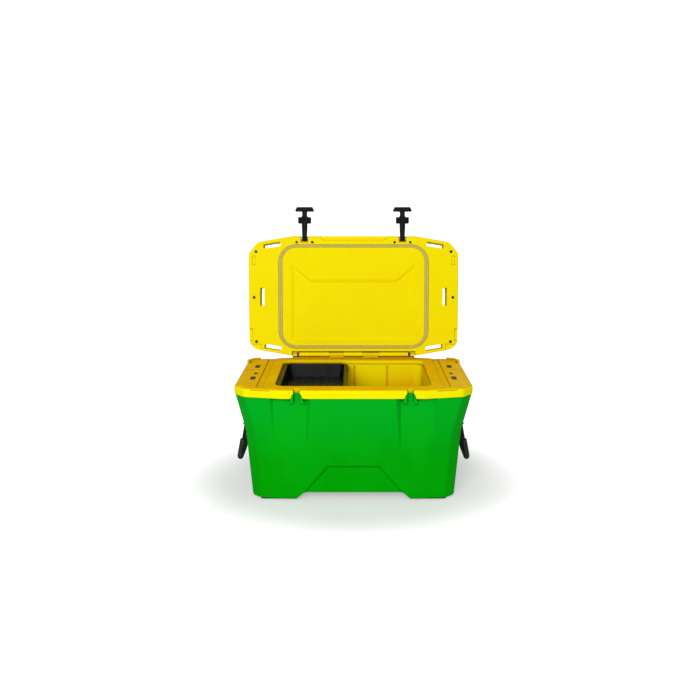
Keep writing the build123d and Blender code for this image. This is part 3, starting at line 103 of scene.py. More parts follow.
# Noise scales: a larger number gives a finer pattern.
PLASTIC_CLOUD = 9.0
PLASTIC_STREAK = 30.0
PLASTIC_PEEL = 150.0
PLASTIC_SKIN = 900.0
RUBBER_DUST = 60.0
RUBBER_PATCH = 120.0
RUBBER_WAVE = 260.0
RUBBER_PEBBLE = 1400.0
METAL_PATCH = 80.0
METAL_SCRATCH = 1200.0
FOAM_PATCH = 25.0
FOAM_CELL = 420.0
FLOOR_PATCH = 4.0

# Depths of relief and radii of softened corners.
PLASTIC_CORNER = 1.4 * MM
RUBBER_CORNER = 0.6 * MM
RUBBER_GRAIN = 0.06 * MM
METAL_CORNER = 0.4 * MM
METAL_GRAIN = 0.03 * MM
FOAM_CORNER = 2.0 * MM
FOAM_GRAIN = 0.6 * MM

PLASTIC_WEAR = (0.2, 0.35)  # how far worn edges turn paler
UPPER_HEIGHTS = (0.1, 0.3)  # the upper tint grows between these heights
INNER_SHADE_REACH = 0.3  # how far off a wall still counts as enclosing, for the painted shade in half-enclosed places


class Finish:
    """A node material while it is being wired."""

    def __init__(self, name):
        self.name = name
        self.material = bpy.data.materials.new(name)
        self.material.use_nodes = True
        self.tree = self.material.node_tree
        self.shader = self.tree.nodes["Principled BSDF"]
        self.place = self.node("ShaderNodeTexCoord").outputs["Object"]

    def node(self, kind, **settings):
        """A new node with its settings."""
        made = self.tree.nodes.new(kind)
        for name, value in settings.items():
            setattr(made, name, value)
        return made

    def set(self, socket, value):
        """Link a node output to a socket, or give the socket a plain value."""
        if isinstance(value, bpy.types.NodeSocket):
            self.tree.links.new(value, socket)
        else:
            socket.default_value = value

    def noise(self, scale, detail=2.0, stretch=(1, 1, 1)):
        """Noise over the object, stretched along its axes."""
        mapping = self.node("ShaderNodeMapping")
        self.set(mapping.inputs["Vector"], self.place)
        mapping.inputs["Scale"].default_value = stretch
        texture = self.node("ShaderNodeTexNoise")
        self.set(texture.inputs["Vector"], mapping.outputs["Vector"])
        texture.inputs["Scale"].default_value = scale
        texture.inputs["Detail"].default_value = detail
        return texture.outputs["Fac"]

    def spread(self, value, low, high, start=0.0, end=1.0):
        """A value's stretch from low to high, mapped to start to end."""
        mapper = self.node("ShaderNodeMapRange", interpolation_type="SMOOTHSTEP")
        self.set(mapper.inputs["Value"], value)
        for name, number in (("From Min", low), ("From Max", high), ("To Min", start), ("To Max", end)):
            mapper.inputs[name].default_value = number
        return mapper.outputs["Result"]

    def maths(self, operation, first, second):
        """A sum, product or other operation on two values."""
        made = self.node("ShaderNodeMath", operation=operation)
        self.set(made.inputs[0], first)
        self.set(made.inputs[1], second)
        return made.outputs[0]

    def mix(self, share, first, second):
        """A colour between two colours."""
        made = self.node("ShaderNodeMix", data_type="RGBA")
        self.set(made.inputs[0], share)
        self.set(made.inputs[6], first)
        self.set(made.inputs[7], second)
        return made.outputs[2]

    def soft_normal(self, radius):
        """Normals rounded over every edge."""
        bevel = self.node("ShaderNodeBevel", samples=4)
        bevel.inputs["Radius"].default_value = radius
        return bevel.outputs["Normal"]

    def edges(self, normal):
        """One along sharp edges, zero on flats."""
        flat = self.node("ShaderNodeNewGeometry").outputs["Normal"]
        dot = self.node("ShaderNodeVectorMath", operation="DOT_PRODUCT")
        self.set(dot.inputs[0], normal)
        self.set(dot.inputs[1], flat)
        return self.spread(dot.outputs["Value"], 0.995, 0.86)

    def crevices(self, distance):
        """One far into corners and grooves, zero in the open: the mask for painted shade."""
        occlusion = self.node("ShaderNodeAmbientOcclusion", samples=6)
        occlusion.inputs["Distance"].default_value = distance
        return self.spread(occlusion.outputs["AO"], 0.85, 0.25)

    def facing_up(self):
        """One on level faces, zero on upright ones."""
        split = self.node("ShaderNodeSeparateXYZ")
        self.set(split.inputs[0], self.node("ShaderNodeNewGeometry").outputs["Normal"])
        return self.spread(split.outputs["Z"], 0.35, 0.9)

    def rise(self, low, high):
        """Zero under one height in metres, one over another."""
        split = self.node("ShaderNodeSeparateXYZ")
        self.set(split.inputs[0], self.place)
        return self.spread(split.outputs["Z"], low, high)

    def bump(self, normal, *layers):
        """Bump layers of (height, distance in metres) over a normal."""
        for value, distance in layers:
            made = self.node("ShaderNodeBump")
            made.inputs["Strength"].default_value = 1.0
            made.inputs["Distance"].default_value = distance
            self.set(made.inputs["Height"], value)
            self.set(made.inputs["Normal"], normal)
            normal = made.outputs["Normal"]
        return normal

    def finish(self, colour, roughness, normal, specular, metallic=0.0):
        """Wire the shader and list the material under its slot."""
        inputs = self.shader.inputs
        self.set(inputs["Base Color"], colour)
        self.set(inputs["Roughness"], roughness)
        self.set(inputs["Normal"], normal)
        inputs["Specular IOR Level"].default_value = specular
        inputs["Metallic"].default_value = metallic
        MATERIALS[self.name] = self.material


def moulded(name, colour, pale, crevice_shade, roughness, specular, grain=0.05 * MM, reach=20 * MM, **tints):
    """Moulded plastic: cloudy colour, fine grain, paler edges and painted shade in the corners.

    Tints are other colours it takes: level, a painted shade on level faces; upper, at the object's upper edge;
    and a painted shade where it is half enclosed.
    """
    level, upper, inside = (tints.get(place) for place in ("level", "upper", "inside"))
    look = Finish(name)
    normal = look.soft_normal(PLASTIC_CORNER)
    # Painted shade: level faces take the level colour, darker and more orange, as glancing light leaves them.
    if level:
        colour = look.mix(look.facing_up(), colour, level)
    if upper:
        colour = look.mix(look.rise(*UPPER_HEIGHTS), colour, upper)
    cloud = look.spread(look.noise(PLASTIC_CLOUD, 3.0), 0.35, 0.68)
    fine = look.noise(PLASTIC_SKIN, 3.0)
    peel = look.noise(PLASTIC_PEEL, 2.0)
    streak = look.noise(PLASTIC_STREAK, 4.0, stretch=(1, 1, 0.12))
    cloudiness = 0.25 if level else 0.5
    base = look.mix(look.maths("MULTIPLY", cloud, cloudiness), colour, pale)
    worn = look.spread(streak, 0.38, 0.62, *PLASTIC_WEAR)
    base = look.mix(look.maths("MULTIPLY", look.edges(normal), worn), base, pale)
    # Painted shade: half-enclosed places take a darker orange colour, as they lie in shade.
    if inside:
        base = look.mix(look.maths("MULTIPLY", look.crevices(INNER_SHADE_REACH), 0.95), base, inside)
    # Painted shade: corners and grooves turn towards a darker colour, as if lying in shade.
    base = look.mix(look.maths("MULTIPLY", look.crevices(reach), 0.8), base, crevice_shade)
    rough = look.spread(streak, 0.3, 0.7, roughness - 0.05, roughness + 0.07)
    normal = look.bump(normal, (peel, 4 * grain), (fine, grain))
    look.finish(base, rough, normal, specular)


def rubber(name, colour, dusty, roughness, specular):
    """Moulded rubber: matte, faintly dusty, with a fine pebbled skin."""
    look = Finish(name)
    normal = look.soft_normal(RUBBER_CORNER)
    dust = look.spread(look.noise(RUBBER_DUST, 4.0), 0.45, 0.75)
    base = look.mix(look.maths("MULTIPLY", dust, 0.35), colour, dusty)
    base = look.mix(look.maths("MULTIPLY", look.edges(normal), 0.5), base, dusty)
    pebbles = look.noise(RUBBER_PEBBLE, 2.0)
    rough = look.spread(look.noise(RUBBER_PATCH, 3.0), 0.3, 0.7, roughness - 0.06, roughness + 0.08)
    wave = look.noise(RUBBER_WAVE, 2.0)
    normal = look.bump(normal, (wave, 2 * RUBBER_GRAIN), (pebbles, RUBBER_GRAIN))
    look.finish(base, rough, normal, specular)


def metal(name, colour, pale, roughness, metallic, brushed=(1, 1, 1)):
    """Coated or drawn metal: stretched scratches, brighter edges."""
    look = Finish(name)
    normal = look.soft_normal(METAL_CORNER)
    scratch = look.noise(METAL_SCRATCH, 3.0, stretch=brushed)
    base = look.mix(look.maths("MULTIPLY", look.edges(normal), 0.5), colour, pale)
    base = look.mix(look.spread(scratch, 0.5, 0.8, 0.0, 0.3), base, pale)
    rough = look.spread(look.noise(METAL_PATCH, 3.0), 0.3, 0.7, roughness - 0.08, roughness + 0.1)
    normal = look.bump(normal, (scratch, METAL_GRAIN))
    look.finish(base, rough, normal, 0.5, metallic)


def cellular_foam(name, colour, shadowed):
    """Sprayed insulating foam: small bubbles and a mottled skin."""
    look = Finish(name)
    cells = look.node("ShaderNodeTexVoronoi")
    look.set(cells.inputs["Vector"], look.place)
    cells.inputs["Scale"].default_value = FOAM_CELL
    bubbles = cells.outputs["Distance"]
    base = look.mix(look.spread(bubbles, 0.1, 0.7), shadowed, colour)
    base = look.mix(look.spread(look.noise(FOAM_PATCH, 3.0), 0.4, 0.7, 0.0, 0.4), base, shadowed)
    normal = look.bump(look.soft_normal(FOAM_CORNER), (bubbles, FOAM_GRAIN))
    look.finish(base, 0.9, normal, 0.2)


def mix_materials():
    """One material for every slot of the record."""
    moulded(
        "green_shell",
        colour=shade(0, 168, 0),
        pale=shade(2, 182, 16),
        # painted shade in corners and grooves
        crevice_shade=shade(0, 78, 0),
        roughness=0.5,
        specular=0.03,
        reach=12 * MM,
        upper=shade(0, 178, 34),
    )
    moulded(
        "yellow_shell",
        colour=shade(255, 242, 0),
        pale=shade(255, 252, 0),
        # painted shade in corners and grooves
        crevice_shade=shade(60, 20, 0),
        roughness=0.5,
        specular=0.03,
        reach=35 * MM,
        # painted shade on level faces
        level=shade(252, 194, 0),
        # painted shade in half-enclosed places
        inside=shade(226, 150, 0),
    )
    moulded(
        "yellow_lid",
        colour=shade(255, 233, 0),
        pale=shade(255, 242, 0),
        # painted shade in corners and grooves
        crevice_shade=shade(130, 84, 0),
        roughness=0.5,
        specular=0.02,
        reach=7 * MM,
    )
    cellular_foam("foam", shade(236, 224, 186), shade(190, 172, 124))
    rubber("foot_rubber", shade(20, 21, 21), shade(52, 53, 52), 0.75, 0.3)
    rubber("latch_rubber", shade(2, 3, 3), shade(18, 20, 20), 0.5, 0.12)
    rubber("seal", shade(206, 188, 92), shade(226, 212, 124), 0.55, 0.2)
    rubber("washer", shade(18, 18, 18), shade(50, 50, 50), 0.7, 0.3)
    moulded(
        "black_plastic",
        colour=shade(8, 8, 8),
        pale=shade(30, 31, 31),
        # painted shade in corners and grooves
        crevice_shade=shade(2, 2, 2),
        roughness=0.42,
        specular=0.3,
        grain=0.04 * MM,
    )
    moulded(
        "tray_plastic",
        colour=shade(4, 4, 5),
        pale=shade(22, 22, 23),
        # painted shade in corners and grooves
        crevice_shade=shade(0, 0, 0),
        roughness=0.34,
        specular=0.22,
        grain=0.03 * MM,
    )
    rubber("grip_rubber", shade(24, 27, 26), shade(74, 78, 74), 0.48, 0.5)
    metal("bail_metal", shade(10, 11, 11), shade(54, 54, 52), 0.38, 0.0)
    moulded(
        "vent_brown",
        colour=shade(122, 78, 8),
        pale=shade(150, 104, 20),
        # painted shade in corners and grooves
        crevice_shade=shade(50, 26, 0),
        roughness=0.5,
        specular=0.25,
        grain=0.04 * MM,
    )
    metal("screw_steel", shade(46, 32, 14), shade(120, 96, 60), 0.5, 0.5)
    metal("pin_steel", shade(176, 168, 160), shade(226, 220, 212), 0.28, 1.0, brushed=(0.03, 1, 1))


# ---------------------------------------------------------------- mesh tools
def make_object(name, points, faces):
    """A smooth-shaded mesh object from points and faces, with its normals outwards."""
    mesh = bpy.data.meshes.new(name)
    mesh.from_pydata([tuple(point) for point in points], [], faces)
    shell = bmesh.new()
    shell.from_mesh(mesh)
    bmesh.ops.recalc_face_normals(shell, faces=shell.faces)
    shell.to_mesh(mesh)
    shell.free()
    mesh.shade_smooth()
    made = bpy.data.objects.new(name, mesh)
    bpy.context.scene.collection.objects.link(made)
    return made


def skin(rings, joined):
    """Points and faces through rings of points. Joined closes the last ring on the first."""
    size = len(rings[0])
    points = [point for ring in rings for point in ring]
    faces = []
    for row in range(len(rings) if joined else len(rings) - 1):
        below = row * size
        above = (row + 1) % len(rings) * size
        for column in range(size):
            following = (column + 1) % size
            faces.append((below + column, below + following, above + following, above + column))
    if not joined:
        faces.append(tuple(reversed(range(size))))
        faces.append(tuple(range(len(points) - size, len(points))))
    return points, faces


def prism(outline, low, high):
    """Points and faces of an outline in X and Y, carried from one height to another."""
    return skin([[(x, y, height) for x, y in outline] for height in (low, high)], False)


def circle(radius, steps):
    """Points round a circle."""
    turns = [2 * math.pi * step / steps for step in range(steps)]
    return [(radius * math.cos(turn), radius * math.sin(turn)) for turn in turns]


def rounded_rectangle(half_width, half_depth, radius, arc_steps, side_steps):
    """Points round a rectangle with round corners, the same number for any size."""
    points = []
    corners = ((1, 1, 0), (-1, 1, 90), (-1, -1, 180), (1, -1, 270))
    for index, (side_x, side_y, start) in enumerate(corners):
        middle = (side_x * (half_width - radius), side_y * (half_depth - radius))
        for step in range(arc_steps + 1):
            turn = math.radians(start + 90 * step / arc_steps)
            points.append((middle[0] + radius * math.cos(turn), middle[1] + radius * math.sin(turn)))
        next_x, next_y, next_start = corners[(index + 1) % 4]
        turn = math.radians(next_start)
        target = (
            next_x * (half_width - radius) + radius * math.cos(turn),
            next_y * (half_depth - radius) + radius * math.sin(turn),
        )
        last = points[-1]
        for step in range(1, side_steps):
            share = step / side_steps
            points.append(tuple(a + (b - a) * share for a, b in zip(last, target)))
    return points


def merged(parts):
    """Points and faces of several closed bodies in one mesh."""
    points, faces = [], []
    for part_points, part_faces in parts:
        faces += [tuple(index + len(points) for index in face) for face in part_faces]
        points += part_points
    return points, faces


def cast(name, parts, voxel, smoothing, keep):
    """One rubber casting from overlapping bodies: remeshed, softened and thinned out."""
    rough = make_object(name + "_rough", *merged(parts))
    remesh = rough.modifiers.new("remesh", "REMESH")
    remesh.mode = "VOXEL"
    remesh.voxel_size = voxel
    soften = rough.modifiers.new("soften", "SMOOTH")
    soften.factor = 0.5
    soften.iterations = smoothing
    thin = rough.modifiers.new("thin", "DECIMATE")
    thin.ratio = keep
    shaped = rough.evaluated_get(bpy.context.evaluated_depsgraph_get())
    mesh = bpy.data.meshes.new_from_object(shaped)
    mesh.name = name
    mesh.shade_smooth()
    bpy.data.objects.remove(rough)
    made = bpy.data.objects.new(name, mesh)
    bpy.context.scene.collection.objects.link(made)
    return made


def stand_for(made, body, slot, *nodes):
    """Give a new piece its body, its finish and the frame nodes that it stands for."""
    made.data.materials.clear()
    made.data.materials.append(MATERIALS[slot])
    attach(made, body)
    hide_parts(*nodes)


# ---------------------------------------------------------------- rubber T latches
# Distances are from the pivot along the arm, levels are (inner face, outer face).
LATCH_EYE = (7.0 * MM, 2.62 * MM, 8.0 * MM)  # outer radius, bore radius, half width
EYE_STEPS = 40
ARM_END = 54.0 * MM
ARM_PLAN = [(8.0 * MM, 4.0 * MM), (9.5 * MM, 44.0 * MM), (9.5 * MM, ARM_END)]
ARM_LEVELS = (-4.2 * MM, 4.2 * MM)
SPINE_PLAN = [(3.6 * MM, 5.5 * MM), (4.4 * MM, ARM_END)]
SPINE_LEVELS = (-5.0 * MM, 5.0 * MM)
SHOULDER = (51.0 * MM, 71.8 * MM)
SHOULDER_HALF = 21.6 * MM
SHOULDER_CORNER = 2.0 * MM
SHOULDER_LEVELS = (-3.0 * MM, 8.0 * MM)
NECK_HALF = 8.2 * MM
NECK_FLARE = 8.0 * MM
NECK_LEVELS = (-1.0 * MM, 7.0 * MM)
GRIP_START = 91.0 * MM
GRIP_END = 105.6 * MM
GRIP_LEVELS = (1.0 * MM, 10.5 * MM)
PAD_LEVELS = (0.0, 12.6 * MM)
RELIEF_LEVELS = (-3.9 * MM, 8.9 * MM)  # the shoulder's ribs and arch
RIB_MIDDLES = (-15.5 * MM, -12.0 * MM, 12.0 * MM, 15.5 * MM)
RIB_HALF = 0.8 * MM
RIB_MARGIN = 4.0 * MM
THUMB_RIBS = (95.0 * MM, 98.0 * MM, 101.0 * MM)
THUMB_RIB_HALF = (19.0 * MM, 0.6 * MM)
THUMB_LEVELS = (5.0 * MM, 13.3 * MM)
LATCH_VOXEL = 0.55 * MM
LATCH_SMOOTHING = 5
LATCH_KEEP = 0.35  # share of the casting's triangles that stay


def both_sides(half_outline):
    """A closed outline from (half width, distance) points up its right-hand side."""
    right = [(half, -along) for half, along in half_outline]
    left = [(-half, -along) for half, along in reversed(half_outline)]
    return right + left


def latch_eye():
    """The tube that turns on the pin."""
    outer, bore, half = LATCH_EYE
    ring = []
    for x in (-half, half):
        ring.append([(x, y, z) for y, z in circle(outer, EYE_STEPS)])
    for x in (half, -half):
        ring.append([(x, y, z) for y, z in circle(bore, EYE_STEPS)])
    return skin(ring, True)


def latch_shoulder():
    """The block that sits under the keeper."""
    low, high = SHOULDER
    outline = [
        (SHOULDER_HALF - SHOULDER_CORNER, low),
        (SHOULDER_HALF, low + SHOULDER_CORNER),
        (SHOULDER_HALF, high - SHOULDER_CORNER),
        (SHOULDER_HALF - SHOULDER_CORNER, high),
    ]
    return prism(both_sides(outline), *SHOULDER_LEVELS)


def latch_neck():
    """The neck from the shoulder to the grip, flared where it leaves the shoulder."""
    outline = []
    for step in range(9):
        turn = math.radians(90 * step / 8)
        half = NECK_HALF + NECK_FLARE * (1 - math.sin(turn))
        outline.append((half, SHOULDER[1] - 1 * MM + NECK_FLARE * (1 - math.cos(turn))))
    outline.append((NECK_HALF, GRIP_START - 3 * MM))
    outline.append((9.8 * MM, GRIP_START + 1 * MM))
    return prism(both_sides(outline), *NECK_LEVELS)


def latch_grip():
    """The cross bar and the pad that thickens its middle."""
    bar = [
        (29.4 * MM, GRIP_START),
        (31.0 * MM, GRIP_START + 2.0 * MM),
        (31.0 * MM, GRIP_START + 4.6 * MM),
        (26.6 * MM, GRIP_END - 1.2 * MM),
        (25.2 * MM, GRIP_END),
    ]
    pad = [(24 * MM, GRIP_START + 3 * MM), (24 * MM, GRIP_START + 7 * MM), (19 * MM, GRIP_END - 4 * MM)]
    return [prism(both_sides(bar), *GRIP_LEVELS), prism(both_sides(pad), *PAD_LEVELS)]


def shoulder_relief():
    """Two pairs of ribs on the shoulder with a plain arch between them."""
    low, high = SHOULDER
    near = -low - RIB_MARGIN
    far = -high + RIB_MARGIN
    bodies = []
    for x in RIB_MIDDLES:
        rib = [(x - RIB_HALF, near), (x + RIB_HALF, near), (x + RIB_HALF, far), (x - RIB_HALF, far)]
        bodies.append(prism(rib, *RELIEF_LEVELS))
    steps = 12
    foot = -low - 5 * MM
    inner, outer = [], []
    for step in range(steps + 1):
        turn = math.radians(20 + 140 * step / steps)
        inner.append((6.2 * MM * math.cos(turn), foot - 8.2 * MM * math.sin(turn)))
        outer.append((8.0 * MM * math.cos(turn), foot - 10.0 * MM * math.sin(turn)))
    bodies.append(prism(outer + inner[::-1], *RELIEF_LEVELS))
    return bodies


def thumb_ribs():
    """Ribs across the grip's pad."""
    half, thick = THUMB_RIB_HALF
    bodies = []
    for distance in THUMB_RIBS:
        near = -(distance - thick)
        far = -(distance + thick)
        bodies.append(prism([(-half, far), (half, far), (half, near), (-half, near)], *THUMB_LEVELS))
    return bodies


def latch_parts():
    """The bodies of one latch, drawn with the lid closed: arm towards -Y, outer face up."""
    arm = prism(both_sides(ARM_PLAN), *ARM_LEVELS)
    spine = prism(both_sides(SPINE_PLAN), *SPINE_LEVELS)
    stem = [latch_eye(), arm, spine, latch_shoulder(), latch_neck()]
    return stem + latch_grip() + shoulder_relief() + thumb_ribs()


def build_latches():
    """A left and a right latch on their pivots."""
    left = cast("latch_rubber_left", latch_parts(), LATCH_VOXEL, LATCH_SMOOTHING, LATCH_KEEP)
    right = bpy.data.objects.new("latch_rubber_right", left.data.copy())
    bpy.context.scene.collection.objects.link(right)
    for side, made in (("left", left), ("right", right)):
        pivot = JOINTS["latch_" + side + "_pivot"]["pos_m"]
        made.matrix_world = Matrix.Translation(pivot) @ LID_TURN
        stand_for(made, "latch_" + side, "latch_rubber", "latch_" + side)


# ---------------------------------------------------------------- lid seal
SEAL_THICK = 3.7 * MM
SEAL_SIDE = 14.0 * MM
SEAL_END = 10.0 * MM
SEAL_RADIUS = 60.0 * MM
SEAL_JOINT = 0.9 * MM  # half width of the butt joint at the rear
SEAL_JOINT_RISE = 0.7  # share of the height that the joint keeps
ARC_STEPS = 16
SIDE_STEPS = 40


def seal_profile():
    """Share across the seal and share of its height, round the section: a flat foot and two lips."""
    section = [(0.0, 0.0), (0.0, 0.45)]
    for middle in (0.27, 0.73):
        for step in range(9):
            turn = math.pi * (1 - step / 8)
            section.append((middle + 0.22 * math.cos(turn), 0.5 + 0.5 * math.sin(turn)))
    section += [(1.0, 0.45), (1.0, 0.0)]
    return section


def build_seal():
    """The soft seal in its groove under the lid."""
    low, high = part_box("lid_gasket")
    lean = abs(math.cos(math.radians(JOINTS["lid_hinge"]["range_deg"][0])))
    upright = math.sqrt(1 - lean**2)
    half_width = (high.x - low.x) / 2
    half_depth = ((high.z - low.z) - SEAL_THICK * lean) / (2 * upright)
    inner_size = (half_width - SEAL_SIDE, half_depth - SEAL_END, SEAL_RADIUS - SEAL_SIDE)
    outer = rounded_rectangle(half_width, half_depth, SEAL_RADIUS, ARC_STEPS, SIDE_STEPS)
    inner = rounded_rectangle(*inner_size, ARC_STEPS, SIDE_STEPS)
    rings = []
    for out_point, in_point in zip(outer, inner):
        at_joint = abs(out_point[0]) < SEAL_JOINT and out_point[1] > 0
        rise = SEAL_JOINT_RISE if at_joint else 1.0
        ring = []
        for across, up in seal_profile():
            x, y = (a + (b - a) * across for a, b in zip(out_point, in_point))
            ring.append((x, y, SEAL_THICK / 2 - SEAL_THICK * up * rise))
        rings.append(ring)
    made = make_object("lid_seal", *skin(rings, True))
    made.matrix_world = Matrix.Translation((low + high) / 2) @ LID_TURN
    stand_for(made, "lid", "seal", "lid_gasket")


# ---------------------------------------------------------------- handle sleeves
GRIP_RADIUS = 9.2 * MM
ROD_RADIUS = 4.6 * MM
BEND_RADIUS = 14.0 * MM
SLEEVE_START = 57.0 * MM  # down the arm from the pivot
SLEEVE_SPACING = 0.8 * MM
SLEEVE_BORE = ROD_RADIUS + 0.2 * MM
SLEEVE_END = 3.0 * MM  # length of the rounded end
SLEEVE_COLLAR = 7.0 * MM  # where the ribs start
RING_STEPS = 40
RIB_PITCH = 3.2 * MM
RIB_DEPTH = 0.35 * MM


def u_path(half_span, drop, spacing):
    """Steps down one arm, along and up the other: (across, down), heading, way so far, whole way."""
    turn_length = BEND_RADIUS * math.pi / 2
    arm = drop - SLEEVE_START - BEND_RADIUS
    span = 2 * (half_span - BEND_RADIUS)
    total = 2 * arm + 2 * turn_length + span
    count = round(total / spacing)
    path = []
    for step in range(count + 1):
        way = total * step / count
        if way < arm:
            place, heading = (-half_span, SLEEVE_START + way), 0.0
        elif way < arm + turn_length:
            heading = (way - arm) / BEND_RADIUS
            place = (
                -half_span + BEND_RADIUS * (1 - math.cos(heading)),
                drop - BEND_RADIUS + BEND_RADIUS * math.sin(heading),
            )
        elif way < arm + turn_length + span:
            place = (-half_span + BEND_RADIUS + way - arm - turn_length, drop)
            heading = math.pi / 2
        elif way < total - arm:
            heading = math.pi / 2 + (way - arm - turn_length - span) / BEND_RADIUS
            place = (
                half_span - BEND_RADIUS * (1 + math.cos(heading)),
                drop - BEND_RADIUS + BEND_RADIUS * math.sin(heading),
            )
        else:
            place, heading = (half_span, SLEEVE_START + total - way), math.pi
        path.append((place, heading, way, total))
    return path


def sleeve_radius(way, total):
    """The sleeve's radius along its length: rounded ends, a plain collar, then fine ribs."""
    edge = min(way, total - way)
    if edge < SLEEVE_END:
        share = 1 - edge / SLEEVE_END
        return SLEEVE_BORE + (GRIP_RADIUS - SLEEVE_BORE) * math.sqrt(max(0.0, 1 - share**2))
    if edge < SLEEVE_COLLAR:
        return GRIP_RADIUS
    return GRIP_RADIUS - RIB_DEPTH * (0.5 - 0.5 * math.cos(2 * math.pi * way / RIB_PITCH)) ** 2


def build_sleeve(side_name, side):
    """One rubber sleeve round the bail of a handle."""
    low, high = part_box("handle_grip_" + side_name)
    pivot = Vector(JOINTS["handle_" + side_name + "_pivot"]["pos_m"])
    outer_x = (high.x if side > 0 else low.x) - side * GRIP_RADIUS
    middle = Vector((outer_x, 0.0, low.z + GRIP_RADIUS))
    down = (middle - pivot).normalized()
    drop = (middle - pivot).length
    across = Vector((0.0, 1.0, 0.0))
    normal = across.cross(down)
    rings = []
    path = u_path(high.y - GRIP_RADIUS, drop, SLEEVE_SPACING)
    for (place_across, place_down), heading, way, total in path:
        centre = pivot + across * place_across + down * place_down
        forward = down * math.cos(heading) + across * math.sin(heading)
        sideways = forward.cross(normal)
        radius = sleeve_radius(way, total)
        rings.append([centre + sideways * x + normal * y for x, y in circle(radius, RING_STEPS)])
    made = make_object("grip_sleeve_" + side_name, *skin(rings, False))
    stand_for(made, "handle_" + side_name, "grip_rubber", "handle_grip_" + side_name)


# ---------------------------------------------------------------- feet and drain washer
FOOT_HALF = (43.0 * MM, 23.0 * MM)
FOOT_SPOTS = (236.0 * MM, 138.0 * MM)  # middles of the feet, either side of the axes
FOOT_CORNER = 8.0 * MM
FOOT_HOLE = 2.4 * MM
FOOT_RECESS = 6.0 * MM
FOOT_RECESS_DEEP = 2.4 * MM
TREADS = 4
TREAD_DEPTH = 0.9 * MM
TREAD_PROFILE = ((0.0, 0.0), (0.12, 0.0), (0.15, TREAD_DEPTH), (0.19, TREAD_DEPTH))
WASHER_BORE = 9.3 * MM
WASHER_SQUARENESS = 0.6  # one gives a round section, nearer zero a square one


def unit_ring(outline):
    """Directions from the middle to each point of an outline."""
    return [(x / math.hypot(x, y), y / math.hypot(x, y)) for x, y in outline]


def foot_rings(height):
    """Rings from the screw hole out over the ribbed tread and back over the flat top."""
    outline = rounded_rectangle(*FOOT_HALF, FOOT_CORNER, 8, 6)
    hole = [(FOOT_HOLE * x, FOOT_HOLE * y) for x, y in unit_ring(outline)]
    recess = [(FOOT_RECESS * x, FOOT_RECESS * y) for x, y in unit_ring(outline)]
    levels = [
        (hole, hole, 0, height),
        (hole, hole, 0, FOOT_RECESS_DEEP),
        (recess, recess, 0, FOOT_RECESS_DEEP),
        (recess, recess, 0, 0.4 * MM),
    ]
    for tread in range(TREADS):
        start = 0.06 + 0.9 * tread / TREADS
        for share, level in TREAD_PROFILE:
            levels.append((recess, outline, start + share, level))
    levels += [
        (recess, outline, 0.97, 0.0),
        (recess, outline, 1.0, 0.7 * MM),
        (recess, outline, 1.0, height - 0.5 * MM),
        (recess, outline, 0.98, height),
    ]
    rings = []
    for inner, outer, share, level in levels:
        ring = []
        for (in_x, in_y), (out_x, out_y) in zip(inner, outer):
            ring.append((in_x + (out_x - in_x) * share, in_y + (out_y - in_y) * share, level))
        rings.append(ring)
    return rings


def build_feet():
    """Four ribbed rubber pads."""
    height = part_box("rubber_feet")[1].z
    bodies = []
    for side_x in (-1, 1):
        for side_y in (-1, 1):
            points, faces = skin(foot_rings(height), True)
            moved = [(x + side_x * FOOT_SPOTS[0], y + side_y * FOOT_SPOTS[1], z) for x, y, z in points]
            bodies.append((moved, faces))
    made = make_object("ribbed_feet", *merged(bodies))
    stand_for(made, "tub", "foot_rubber", "rubber_feet")


def squared(value):
    """A sine or cosine pushed towards one, which squares off the round section."""
    return abs(value) ** WASHER_SQUARENESS * math.copysign(1, value)


def build_washer():
    """The washer behind the drain plug's head, with a raised sealing bead."""
    low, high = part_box("drain_washer")
    middle = (low + high) / 2
    outer = (high.y - low.y) / 2
    half = (high.x - low.x) / 2
    section = []
    for step in range(24):
        turn = 2 * math.pi * step / 24
        swell = squared(math.cos(turn))
        rise = squared(math.sin(turn))
        section.append(((outer + WASHER_BORE) / 2 + (outer - WASHER_BORE) / 2 * swell, half * rise))
    rings = []
    for step in range(64):
        turn = 2 * math.pi * step / 64
        ring = []
        for radius, across in section:
            ring.append(middle + Vector((across, radius * math.cos(turn), radius * math.sin(turn))))
        rings.append(ring)
    made = make_object("sealing_washer", *skin(rings, True))
    stand_for(made, "tub", "washer", "drain_washer")


# ---------------------------------------------------------------- put it together
def dress_frame():
    """Every frame node takes the material of its slot."""
    for row in frame["record"]["subparts"]:
        node = frame["nodes"][row["node"]]
        node.data.materials.clear()
        node.data.materials.append(MATERIALS[row["material_slot"]])


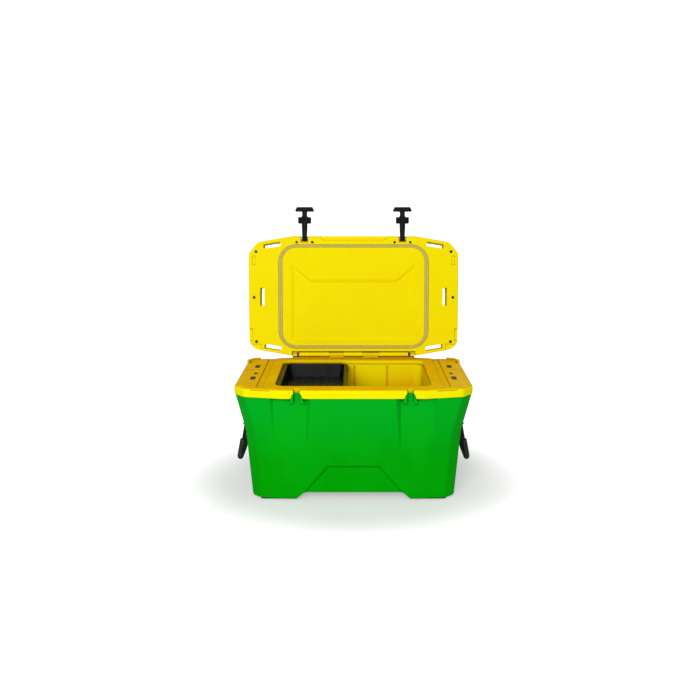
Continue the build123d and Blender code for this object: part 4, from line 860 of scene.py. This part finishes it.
def build_floor():
    """A plain floor that fades to white away from the chest."""
    look = Finish("studio_floor")
    colour = look.mix(look.spread(look.noise(FLOOR_PATCH, 2.0), 0.3, 0.7), *FLOOR_GREYS)
    look.set(look.shader.inputs["Base Color"], colour)
    look.shader.inputs["Roughness"].default_value = 0.9
    look.shader.inputs["Specular IOR Level"].default_value = 0.0
    look.shader.inputs["Emission Color"].default_value = WHITE
    seen = look.node("ShaderNodeLightPath").outputs["Is Camera Ray"]
    mapping = look.node("ShaderNodeMapping")
    look.set(mapping.inputs["Vector"], look.place)
    mapping.inputs["Scale"].default_value = (1 / SHADE_HALF[0], 1 / SHADE_HALF[1], 0)
    away = look.node("ShaderNodeVectorMath", operation="LENGTH")
    look.set(away.inputs[0], mapping.outputs["Vector"])
    glow = look.spread(away.outputs["Value"], *SHADE_FADE, *FLOOR_GLOW)
    look.set(look.shader.inputs["Emission Strength"], look.maths("MULTIPLY", seen, glow))
    half = FLOOR_SIZE / 2
    corners = [(-half, -half, 0), (half, -half, 0), (half, half, 0), (-half, half, 0)]
    floor = make_object("studio_floor", corners, [(0, 1, 2, 3)])
    floor.location.z = cad_low.z
    floor.data.materials.append(look.material)


def add_light(name, place, size, power):
    """A soft square light aimed at the chest."""
    data = bpy.data.lights.new(name, "AREA")
    data.size = size
    data.energy = power
    light = bpy.data.objects.new(name, data)
    bpy.context.scene.collection.objects.link(light)
    light.location = place
    light.rotation_euler = (Vector(LIGHT_TARGET) - Vector(place)).to_track_quat("-Z", "Y").to_euler()


def build_studio():
    """White surroundings, a broad key light in front and a weaker light behind."""
    scene = bpy.context.scene
    scene.view_settings.view_transform = "Standard"
    world = bpy.data.worlds.new("studio")
    world.use_nodes = True
    tree = world.node_tree
    background = tree.nodes["Background"]
    path = tree.nodes.new("ShaderNodeLightPath")
    level = tree.nodes.new("ShaderNodeMapRange")
    level.inputs["To Min"].default_value = WORLD_LIGHT
    level.inputs["To Max"].default_value = WORLD_SEEN
    tree.links.new(path.outputs["Is Camera Ray"], level.inputs["Value"])
    tree.links.new(level.outputs["Result"], background.inputs["Strength"])
    background.inputs["Color"].default_value = WHITE
    scene.world = world
    add_light("key", *KEY_LIGHT)
    add_light("back", *BACK_LIGHT)


def build_camera():
    """The camera in front of the chest, looking slightly down."""
    data = bpy.data.cameras.new("camera")
    data.sensor_width = SENSOR
    data.lens = LENS
    data.shift_x, data.shift_y = CAMERA_SHIFT
    camera = bpy.data.objects.new("camera", data)
    camera.location = CAMERA_PLACE
    camera.rotation_euler = (CAMERA_TILT, 0, 0)
    bpy.context.scene.collection.objects.link(camera)
    bpy.context.scene.camera = camera


mix_materials()
dress_frame()
build_latches()
build_seal()
for name, direction in (("left", -1), ("right", 1)):
    build_sleeve(name, direction)
build_feet()
build_washer()
build_floor()
build_studio()
build_camera()
